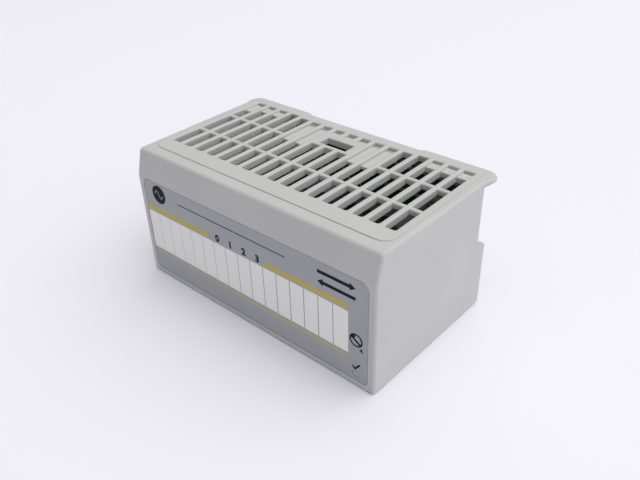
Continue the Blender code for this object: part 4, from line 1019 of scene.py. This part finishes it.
def ink_ring(centre, radius, bore, segments=24, face=LABEL_LOW.y):
    """Printed ring, as two halves."""
    halves = []
    for start in (0, 180):
        outer = arc(centre, radius, start, start + 180, segments)
        halves.append(ink(outer + arc(centre, bore, start + 180, start, segments), face=face))
    return add(*halves)


def drawn(shape, place, size, width, layer=1):
    """Printed line along a shape's points, at a place and to a size."""
    x, z = place
    return ink_line([(x + u * size, z + v * size) for u, v in shape], width, layer)


def ink_text(body, place, size, weight):
    """Plain figures, centred on a place."""
    text = bpy.data.curves.new("figures", "FONT")
    text.body = body
    text.size = size
    text.extrude = INK
    text.offset = weight
    text.align_x = "CENTER"
    text.align_y = "CENTER"
    bm = finished(linked("figures", text))
    bpy.data.curves.remove(text)
    bmesh.ops.remove_doubles(bm, verts=bm.verts, dist=INK / 10)
    bm.transform(Matrix.Translation((place[0], LABEL_LOW.y, place[1])) @ FRONT)
    return bm


def dulled(material, shine):
    """Take the shine off a surface."""
    shader_of(material).inputs["Specular IOR Level"].default_value = shine
    return material


def printed(name, colour):
    made = moulded(name, colour, 0.6, grain=0.12 * MM, depth=0.003 * MM, drift=0.02)
    return dulled(made, INK_SHINE)


def worn_print(name, worn, colour):
    """Print that fades towards the left end of the label."""
    material = printed(name, colour)
    tree = material.node_tree
    return mix_in(material, worn, spread_value(tree, split_place(tree)["X"], 1.0, 0.0, *WORN))


def make_label_print():
    gold, dark = printed("ink_gold", INK_GOLD), printed("ink_dark", INK_DARK)
    khaki = worn_print("ink_khaki", WORN_KHAKI, INK_KHAKI)
    grey = worn_print("ink_grey", WORN_GREY, INK_GREY)
    left, right = STRIP_LOW.x, STRIP_HIGH.x
    upper = ink_bar(left, UPPER_STRIPE_GAP[0], *UPPER_STRIPE)
    add(upper, ink_bar(UPPER_STRIPE_GAP[1], right, *UPPER_STRIPE))
    piece("label_upper_stripe", upper, gold, "hood")
    piece("label_lower_stripe", ink_bar(left, right, *LOWER_STRIPE), khaki, "hood")
    marks = ink_bar(*RULE, RULE_HEIGHT - RULE_WIDTH / 2, RULE_HEIGHT + RULE_WIDTH / 2)
    add(marks, ink(arc(EMBLEM, EMBLEM_RADIUS, 0, 345, 23)))
    for number in range(CHANNELS):
        place = (blend(*CHANNEL_MARKS, number / (CHANNELS - 1)), CHANNEL_MARK_HEIGHT)
        add(marks, ink_text(str(number), place, CHANNEL_MARK_SIZE, FIGURE_WEIGHT))
    add(marks, *in_and_out_arrows())
    add(marks, ink_ring(KEY_MARK, KEY_MARK_RADIUS, KEY_MARK_RADIUS - KEY_MARK_LINE))
    add(marks, drawn(KEY_SHAPE, KEY_MARK, KEY_SIZE, KEY_LINE))
    add(marks, ink_text(KEY_NUMBER, KEY_NUMBER_PLACE, KEY_NUMBER_SIZE, KEY_NUMBER_WEIGHT))
    add(marks, drawn(TICK_SHAPE, TICK, TICK_SIZE, TICK_LINE))
    piece("label_marks", marks, dark, "hood")
    turns = [math.radians(15 * step) for step in range(25)]
    wave = [(turn / math.pi - 1, WAVE_HEIGHT * math.sin(turn)) for turn in turns]
    sign = drawn(wave, EMBLEM, WAVE_SIZE, WAVE_LINE, 2)
    piece("label_emblem_wave", sign, printed("ink_emblem", EMBLEM_GREY), "hood")
    lines = bmesh.new()
    for number in range(1, FIELDS):
        middle, half = left + number * (right - left) / FIELDS, DIVIDER_WIDTH / 2
        add(lines, ink_bar(middle - half, middle + half, STRIP_LOW.z, STRIP_HIGH.z))
    piece("label_fine_lines", lines, grey, "hood")


def in_and_out_arrows():
    """Two arrows, one each way: the usual sign for inputs and outputs."""
    arrows = []
    for way in (-1, 1):
        x, z = ARROWS
        z += way * ARROW_SPACING / 2
        tail, tip = x - way * ARROW_LENGTH / 2, x + way * ARROW_LENGTH / 2
        neck, half = tip - way * ARROW_HEAD, ARROW_WIDTH / 2
        outline = [(tail, z - half), (neck, z - half), (neck, z - ARROW_BARB), (tip, z)]
        outline += [(neck, z + ARROW_BARB), (neck, z + half), (tail, z + half)]
        arrows.append(ink(outline))
    return arrows


def make_light_pipe(material):
    lens = block(LENS_LOW, LENS_HIGH)
    soften(lens, LENS_EDGE, 3)
    x, z = ROD_PLACE
    rod = round_bar((x, LENS_HIGH.y - FIT, z), (x, PIPE_HIGH.y, z), ROD_RADIUS)
    return piece("light_pipe_lens", add(lens, rod), material, "hood", ["light_pipe"])


def numbered(stem):
    """Solids whose name is a stem, alone or with a number."""
    return [name for name in sorted(frame["nodes"]) if stem in (name, name.rsplit("_", 1)[0])]


def middle_of(low, high):
    """Middle of a box, as (x, z)."""
    return (low.x + high.x) / 2, (low.z + high.z) / 2


def round_solid(name):
    """Box of a round solid along Y, its middle (x, z), its radius and its length."""
    low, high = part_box(name)
    return low, high, middle_of(low, high), (high.x - low.x) / 2, high.y - low.y


def lathe(profile, foot, way, sides=32):
    """Solid of revolution from (radius, height) points that start and end on its axis."""
    bm = bmesh.new()
    verts = [bm.verts.new((radius, 0, height)) for radius, height in profile]
    edges = [bm.edges.new(pair) for pair in zip(verts, verts[1:])]
    bmesh.ops.spin(
        bm, geom=verts + edges, cent=(0, 0, 0), axis=(0, 0, 1), dvec=(0, 0, 0), angle=math.tau, steps=sides,
        use_merge=True,
    )
    bmesh.ops.remove_doubles(bm, verts=bm.verts, dist=TINY)
    bm.transform(Matrix.Translation(foot) @ Vector(way).to_track_quat("Z", "Y").to_matrix().to_4x4())
    bmesh.ops.recalc_face_normals(bm, faces=bm.faces)
    return bm


def slab(points, across):
    """Solid from a closed outline of points, pushed along a vector."""
    bm = bmesh.new()
    push(bm, [bm.faces.new([bm.verts.new(point) for point in points])], across)
    bmesh.ops.recalc_face_normals(bm, faces=bm.faces)
    return bm


def wire(points, radius, sides=10):
    """Round wire along points, with a ball at each bend."""
    bm = bmesh.new()
    for start, end in zip(points, points[1:]):
        add(bm, round_bar(start, end, radius, sides))
    for point in points[1:-1]:
        bmesh.ops.create_uvsphere(
            bm, u_segments=sides, v_segments=sides // 2, radius=radius, matrix=Matrix.Translation(point)
        )
    return bm


def cut_cross(bm, middle, radius, shares, start, end):
    """Cut a cross into a round end, its arms' reach and half width given as shares of the radius."""
    x, z = middle
    for wide, tall in (shares, shares[::-1]):
        low = (x - wide * radius, start, z - tall * radius)
        bm = carve(bm, block(low, (x + wide * radius, end, z + tall * radius)))
    return bm


def make_screws(material):
    """Pan-head screws with a thread and a cross recess."""
    for name in numbered("cover_screw") + numbered("board_screw"):
        low, high, (x, z), radius, length = round_solid(name)
        way = 1 if name.startswith("cover") else -1
        foot, crown = (low.y, high.y) if way > 0 else (high.y, low.y)
        seat = length - HEAD_HEIGHT
        root = SHANK_RADIUS * THREAD_ROOT_SHARE
        profile = [(0, 0), (SHANK_RADIUS * SHANK_TIP_SHARE, 0)]
        for turn in range(int(seat / THREAD_PITCH) - 1):
            start = (turn + THREAD_START) * THREAD_PITCH
            profile += [(root, start), (SHANK_RADIUS, start + THREAD_PITCH / 2)]
        profile += [(root, seat), (radius * HEAD_FOOT_SHARE, seat), (radius, seat + HEAD_EASE)]
        rim = HEAD_HEIGHT * HEAD_RIM_SHARE
        for angle in range(0, 90, 15):
            turn = math.radians(angle)
            profile.append((radius * math.cos(turn), seat + rim + (HEAD_HEIGHT - rim) * math.sin(turn)))
        bm = lathe(profile + [(0, length)], (x, foot, z), (0, way, 0))
        start, end = sorted((crown - way * CROSS_DEPTH, crown + way * THROUGH))
        bm = cut_cross(bm, (x, z), radius, CROSS_SHARES, start, end)
        piece(f"{name}_pan_head", bm, material, "chassis", [name])


def make_capacitors(sleeve, can, stripe):
    """Electrolytics: grooved sleeve, scored top and a polarity stripe."""
    for name in numbered("electrolytic_capacitor"):
        low, high, (x, z), radius, length = round_solid(name)
        foot, way = (x, high.y, z), (0, -1, 0)
        profile = [(radius * share, rise * MM) for share, rise in SLEEVE_FOOT]
        profile += [(radius * share, length - drop * MM) for share, drop in SLEEVE_TOP]
        bm = lathe(profile, foot, way, CAN_SIDES)
        piece(f"{name}_sleeve", bm, sleeve, "chassis", [name])
        profile = [(radius * share, length - drop * MM) for share, drop in CAN_TOP]
        disc = lathe(profile, foot, way, CAN_SIDES)
        disc = cut_cross(disc, (x, z), radius, SCORE_SHARES, low.y - THROUGH, low.y + SCORE_DEPTH)
        piece(f"{name}_top", disc, can, "chassis")
        outer = arc((x, z), radius + INK, *POLARITY_ARC, 8)
        inner = arc((x, z), radius - INK, *POLARITY_ARC[::-1], 8)
        corners = [(u, v, 0) for u, v in outer + inner]
        band = prism(corners, -high.y + POLARITY_FOOT, -low.y - POLARITY_TOP, FRONT)
        piece(f"{name}_stripe", band, stripe, "chassis")


def make_diodes(resin, band, tin):
    """Axial diodes with a cathode band, their leads bent down to the board."""
    for name in numbered("rectifier_diode"):
        low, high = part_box(name)
        radius, length = (high.z - low.z) / 2, high.x - low.x
        y, z = high.y - radius, (low.z + high.z) / 2
        foot, way = (low.x, y, z), (1, 0, 0)
        ease, inner = DIODE_EASE, radius - DIODE_EASE
        profile = [(0, 0), (inner, 0), (radius, ease)]
        profile += [(radius, length - ease), (inner, length), (0, length)]
        piece(f"{name}_body", lathe(profile, foot, way), resin, "chassis", [name])
        start, end = (share * length for share in CATHODE_BAND)
        ring = [(0, start), (radius + INK, start), (radius + INK, end), (0, end)]
        piece(f"{name}_band", lathe(ring, foot, way), band, "chassis")
        leads = bmesh.new()
        for end, out in ((low.x, -1), (high.x, 1)):
            bend = end + out * DIODE_BEND
            route = [(end - out * FIT, y, z), (bend, y, z), (bend, REAR_BOARD_FACE, z)]
            add(leads, wire(route, WIRE_RADIUS))
        piece(f"{name}_leads", leads, tin, "chassis")


def make_inductor(copper):
    """Turns of wire round the waist of the drum core."""
    _, high, (x, z), radius, length = round_solid("power_inductor")
    start, end = DRUM_FLANGE, length - DRUM_FLANGE
    pitch = (end - start) / DRUM_TURNS
    profile = [(0, start)]
    for turn in range(DRUM_TURNS):
        middle = (radius * DRUM_WAIST_SHARE, start + (turn + 0.5) * pitch)
        profile += arc(middle, pitch / 2, -80, 80, 8)
    bm = lathe(profile + [(0, end)], (x, high.y, z), (0, -1, 0), DRUM_SIDES)
    piece("power_inductor_turns", bm, copper, "chassis")


def make_fuse(material, tin):
    """Round fuse with a grooved foot, on two legs."""
    _, high, (x, z), radius, length = round_solid("input_fuse")
    profile = [(radius * share, rise * MM) for share, rise in FUSE_FOOT]
    profile += [(radius - inset * MM, length - drop * MM) for inset, drop in FUSE_EDGES]
    bm = lathe(profile + [(0, length)], (x, high.y, z), (0, -1, 0), FUSE_SIDES)
    piece("input_fuse_cap", bm, material, "chassis", ["input_fuse"])
    legs = bmesh.new()
    for at in (x - FUSE_LEGS, x + FUSE_LEGS):
        add(legs, round_bar((at, high.y - FIT, z), (at, REAR_BOARD_FACE, z), WIRE_RADIUS, 12))
    piece("input_fuse_legs", legs, tin, "chassis")


def chip_leads(name, ends, pitch, width, reach):
    """Bent leads along a chip's sides: ends is "x", or "xz" for all four."""
    low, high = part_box(name)
    middle = (low + high) / 2
    bm = bmesh.new()
    shoulder, foot = middle.y, FRONT_BOARD_FACE
    thick = LEAD_THICKNESS
    for axis in ends:
        along = "z" if axis == "x" else "x"
        span = getattr(high, along) - getattr(low, along)
        count = int((span - width) / pitch)
        for side in (-1, 1):
            face = getattr(high if side > 0 else low, axis)
            drop = face + side * reach * LEAD_KNEE
            tip = face + side * reach
            outline = (
                (face - side * FIT, shoulder), (drop, shoulder), (drop, foot - thick), (tip, foot - thick),
                (tip, foot), (drop - side * thick, foot), (drop - side * thick, shoulder + thick),
                (face - side * FIT, shoulder + thick),
            )
            for number in range(count):
                at = getattr(middle, along) + (number - (count - 1) / 2) * pitch - width / 2
                points = [(u, v, at) if axis == "x" else (at, v, u) for u, v in outline]
                add(bm, slab(points, (0, 0, width) if axis == "x" else (width, 0, 0)))
    return bm


def make_chip_leads(tin, light):
    """Leads of the chips, and the dot at each one's first lead."""
    dots = bmesh.new()
    for stem, ends, pitch, width, reach in CHIP_LEADS:
        for name in numbered(stem):
            leads = chip_leads(name, ends, pitch, width, reach)
            piece(f"{name.removesuffix('_chip')}_leads", leads, tin, "chassis")
            low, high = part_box(name)
            x, z = low.x + DOT_INSET, high.z - DOT_INSET
            add(dots, round_bar((x, low.y + INK, z), (x, low.y - INK, z), DOT_RADIUS, 20))
    piece("chip_dots", dots, light, "chassis")


def line_on(face, points, width):
    """Thin line on a board's face, its joints lapped."""
    bm = bmesh.new()
    for start, end in zip(points, points[1:]):
        start, end = Vector(start), Vector(end)
        along = (end - start).normalized() * width / 2
        across = Vector((-along.y, along.x))
        start, end = start - along * TRACE_LAP, end + along * TRACE_LAP
        corners = (start + across, start - across, end - across, end + across)
        add(bm, ink(corners, face=face))
    return bm


def outline_on(face, low, high):
    """Printed frame round a piece's foot."""
    left, right, bottom, top = low.x - SILK_GAP, high.x + SILK_GAP, low.z - SILK_GAP, high.z + SILK_GAP
    corners = ((left, bottom), (right, bottom), (right, top), (left, top), (left, bottom))
    return line_on(face, corners, SILK_WIDTH)


def make_board_print(board, stems, copper, silk, tin):
    """Outlines on a board's front, solder joints on its rear, tracks and the spacers' rings on both."""
    low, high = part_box(board)
    front, back = low.y, high.y
    outlines, tracks, rings, joints = (bmesh.new() for _ in range(4))
    for name in [name for stem in stems for name in numbered(stem)]:
        start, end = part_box(name)
        middle, span = middle_of(start, end), end - start
        add(outlines, outline_on(front, start, end))
        for side_x in (-1, 1):
            for side_z in (-1, 1):
                x = middle[0] + side_x * span.x * JOINT_SPREAD
                z = middle[1] + side_z * span.z * JOINT_SPREAD
                foot, tip = (x, back - INK, z), (x, back + JOINT_HEIGHT, z)
                add(joints, round_bar(foot, tip, JOINT_RADIUS, 12, JOINT_TIP_RADIUS))
                add(tracks, back_track(back, x, z, low, high))
    for name in numbered("board_spacer"):
        for face in (front, back):
            add(rings, ink_ring(middle_of(*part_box(name)), PAD_RADIUS, PAD_BORE, 16, face))
    for number in range(TRACES):
        x = (number - (TRACES - 1) / 2) * TRACE_PITCH
        shift = TRACE_SHIFT if number % 3 else -TRACE_SHIFT
        bottom = low.z + TRACE_FOOT + number % 4 * TRACE_STAGGER
        top = high.z - TRACE_HEAD - number % 3 * TRACE_STAGGER
        bend = (low.z + high.z) / 2 + (number % 5 - 2.5) * TRACE_STAGGER
        points = ((x, bottom), (x, bend), (x + shift, bend + TRACE_SHIFT), (x + shift, top))
        add(tracks, line_on(front, points, TRACE_WIDTH))
    piece(f"{board}_tracks", tracks, copper, "chassis")
    piece(f"{board}_outlines", outlines, silk, "chassis")
    piece(f"{board}_rings", rings, tin, "chassis")
    piece(f"{board}_joints", joints, tin, "chassis")


def back_track(face, x, z, low, high):
    """One track on a board's rear face, from a joint towards the nearer long edge."""
    end = low.z + BACK_TRACE_INSET if z < (low.z + high.z) / 2 else high.z - BACK_TRACE_INSET
    bend = (z + end) / 2
    shift = BACK_TRACE_SHIFT if x < 0 else -BACK_TRACE_SHIFT
    turn = bend + math.copysign(BACK_TRACE_SHIFT, end - z)
    return line_on(face, ((x, z), (x, bend), (x + shift, turn), (x + shift, end)), TRACE_WIDTH)


def ease_solids():
    """Ease the edges of the solids that still show."""
    for node in frame["nodes"].values():
        eased = node.modifiers.new("eased edges", "BEVEL")
        eased.width = SOLID_EDGE
        eased.segments = 2
        eased.limit_method = "ANGLE"
        eased.angle_limit = SHARP_ANGLE
        weighted = node.modifiers.new("flat faces stay flat", "WEIGHTED_NORMAL")
        weighted.keep_sharp = True


def make_floor():
    bm = bmesh.new()
    bmesh.ops.create_grid(bm, x_segments=1, y_segments=1, size=FLOOR_HALF)
    floor = loose_object("studio_floor", bm)
    material, tree, shader = new_material("floor_paper")
    shine = {"Roughness": FLOOR_ROUGHNESS, "Specular IOR Level": FLOOR_SHINE}
    feed(tree, shader, {"Base Color": opaque(FLOOR_COLOUR), **shine})
    floor.data.materials.append(material)


def make_world():
    """Light tent, brightest above, to the right and behind. The camera sees a plain pale backdrop."""
    world = bpy.data.worlds.new("studio")
    world.use_nodes = True
    bpy.context.scene.world = world
    tree = world.node_tree
    way = add_node(tree, "ShaderNodeTexCoord").outputs["Generated"]
    sides = {0: way, 1: SKY_BRIGHT_SIDE.normalized()}
    towards = add_node(tree, "ShaderNodeVectorMath", sides, operation="DOT_PRODUCT")
    level = spread_value(tree, towards.outputs["Value"], 0.0, SKY_LEVEL, 0.0, 1.0)
    seen = add_node(tree, "ShaderNodeLightPath").outputs["Is Camera Ray"]
    levels = {"Factor": seen, "A": level, "B": BACKDROP_LEVEL}
    strength = add_node(tree, "ShaderNodeMix", levels, data_type="FLOAT").outputs["Result"]
    feed(tree, tree.nodes["Background"], {"Color": opaque(SKY_COLOUR), "Strength": strength})


def make_lamp(name, place, size, power):
    """Square soft box that faces the module."""
    lamp = bpy.data.lights.new(name, "AREA")
    lamp.shape = "SQUARE"
    lamp.size = size
    lamp.energy = power
    holder = linked(name, lamp)
    holder.location = place
    holder.rotation_euler = (AIM - Vector(place)).to_track_quat("-Z", "Y").to_euler()


def make_camera():
    camera = bpy.data.cameras.new("photo_camera")
    camera.lens = CAMERA_LENS
    camera.sensor_width = SENSOR
    camera.clip_start = CAMERA_NEAR
    holder = linked("photo_camera", camera)
    back = -CAMERA_FORWARD.normalized()
    right = CAMERA_UP.cross(back).normalized()
    turn = Matrix((right, back.cross(right), back)).transposed()
    holder.matrix_world = Matrix.Translation(CAMERA_PLACE) @ turn.to_4x4()
    bpy.context.scene.camera = holder


def paint_rest(finishes):
    """Give every solid that still shows its finish."""
    slots = {part["node"]: part["material_slot"] for part in frame["record"]["subparts"]}
    for name, node in frame["nodes"].items():
        node.data.materials.clear()
        node.data.materials.append(finishes[slots[name]])


def main():
    finishes = {
        "hood": moulded("hood_plastic", HOOD_GREY),
        "panels": moulded("panel_plastic", HOOD_GREY),
        "rear_cover": moulded("cover_plastic", HOOD_GREY),
        "label_film": moulded(
            "film_grey", FILM_GREY, 0.45, grain=0.12 * MM, depth=0.004 * MM, drift=0.012
        ),
        "strip_card": moulded(
            "card_white", CARD_WHITE, 0.55, grain=0.15 * MM, depth=0.006 * MM, drift=0.012
        ),
        "light_pipe": moulded("pipe_clear", (0.43, 0.445, 0.46), 0.2, depth=0.002 * MM),
        "screws": metal("zinc_plate", (0.62, 0.62, 0.6), 0.35),
        "spacers": metal("black_oxide", (0.1, 0.1, 0.105), 0.4),
        "circuit_board": moulded(
            "solder_mask", (0.007, 0.024, 0.014), 0.4, grain=0.4 * MM, depth=0.01 * MM, drift=0.1
        ),
        "black_resin": moulded("black_resin", (0.022, 0.022, 0.023), 0.5),
        "contacts": metal("gold_flash", (0.85, 0.62, 0.26), 0.25),
        # Ferrite is dark grey of its own; the cores are painted darker still, near black, as painted shade
        # under the vents.
        "ferrite": moulded("ferrite", (0.024, 0.024, 0.026), 0.6),
        "winding_tape": moulded("winding_tape", (0.62, 0.45, 0.07), 0.4),
        "capacitor_sleeve": moulded("capacitor_sleeve", (0.014, 0.016, 0.026), 0.4),
        "fuse_body": moulded("fuse_body", (0.05, 0.02, 0.02), 0.45),
        "chip_resin": moulded("chip_resin", (0.025, 0.025, 0.027), 0.55),
        "can_metal": metal("can_metal", (0.7, 0.7, 0.69), 0.3),
        "white_resin": moulded("white_resin", (0.7, 0.7, 0.67), 0.5),
        "resistor_coat": moulded("resistor_coat", (0.3, 0.14, 0.04), 0.35),
        "film_resin": moulded("film_resin", (0.16, 0.02, 0.015), 0.3),
    }
    # Painted shade: the inside of the hood and of the rear cover is near black, where little light gets in.
    reach = HOOD_HALF - WALL + SEAM
    low = (-reach, FRONT_FACE + WALL - SEAM, HOOD_LOW.z + SEAT_DEPTH - SEAM)
    high = (reach, INSIDE_REAR, HOOD_HIGH.z - SEAT_DEPTH + SEAM)
    for name in ("hood", "rear_cover"):
        shade_inside(finishes[name], low, high, INSIDE_SHADE)
    # Painted shade: the front board's upper edge, under the vents, is near black.
    low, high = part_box("front_board")
    low.z = high.z - SEAM
    high.z += SEAM
    dulled(shade_inside(finishes["circuit_board"], low, high, BOARD_EDGE_SHADE), BOARD_SHINE)
    paint_rest(finishes)
    make_hood(finishes["hood"])
    # The vent blanks are near black: painted shade.
    make_top_panel(moulded_panel(), dulled(moulded("vent_painted_shade", VENT_SHADE_BLACK, 0.6), VENT_SHINE))
    make_bottom_panel(finishes["panels"])
    make_label(finishes["label_film"], finishes["strip_card"])
    make_light_pipe(finishes["light_pipe"])
    make_label_print()
    tin = metal("solder_tin", (0.68, 0.68, 0.66), 0.32)
    silk = moulded("silk_white", (0.72, 0.72, 0.7), 0.5, grain=0.15 * MM, depth=0.003 * MM)
    copper = moulded(
        "masked_copper", (0.013, 0.048, 0.024), 0.35, grain=0.4 * MM, depth=0.004 * MM, drift=0.08
    )
    make_screws(finishes["screws"])
    stripe = moulded("sleeve_stripe", (0.1, 0.105, 0.12), 0.45)
    make_capacitors(finishes["capacitor_sleeve"], finishes["can_metal"], stripe)
    make_diodes(finishes["chip_resin"], silk, tin)
    make_inductor(metal("copper_wire", (0.72, 0.32, 0.12), 0.3))
    make_fuse(finishes["fuse_body"], tin)
    make_chip_leads(tin, moulded("chip_mark", (0.09, 0.09, 0.09), 0.5))
    make_board_print("rear_board", REAR_STEMS, copper, silk, tin)
    make_board_print("front_board", FRONT_STEMS, copper, silk, tin)
    ease_solids()
    make_floor()
    make_world()
    for name, place, size, power in LAMPS:
        make_lamp(name, place, size, power)
    make_camera()
    bpy.context.scene.view_settings.view_transform = "Standard"


main()
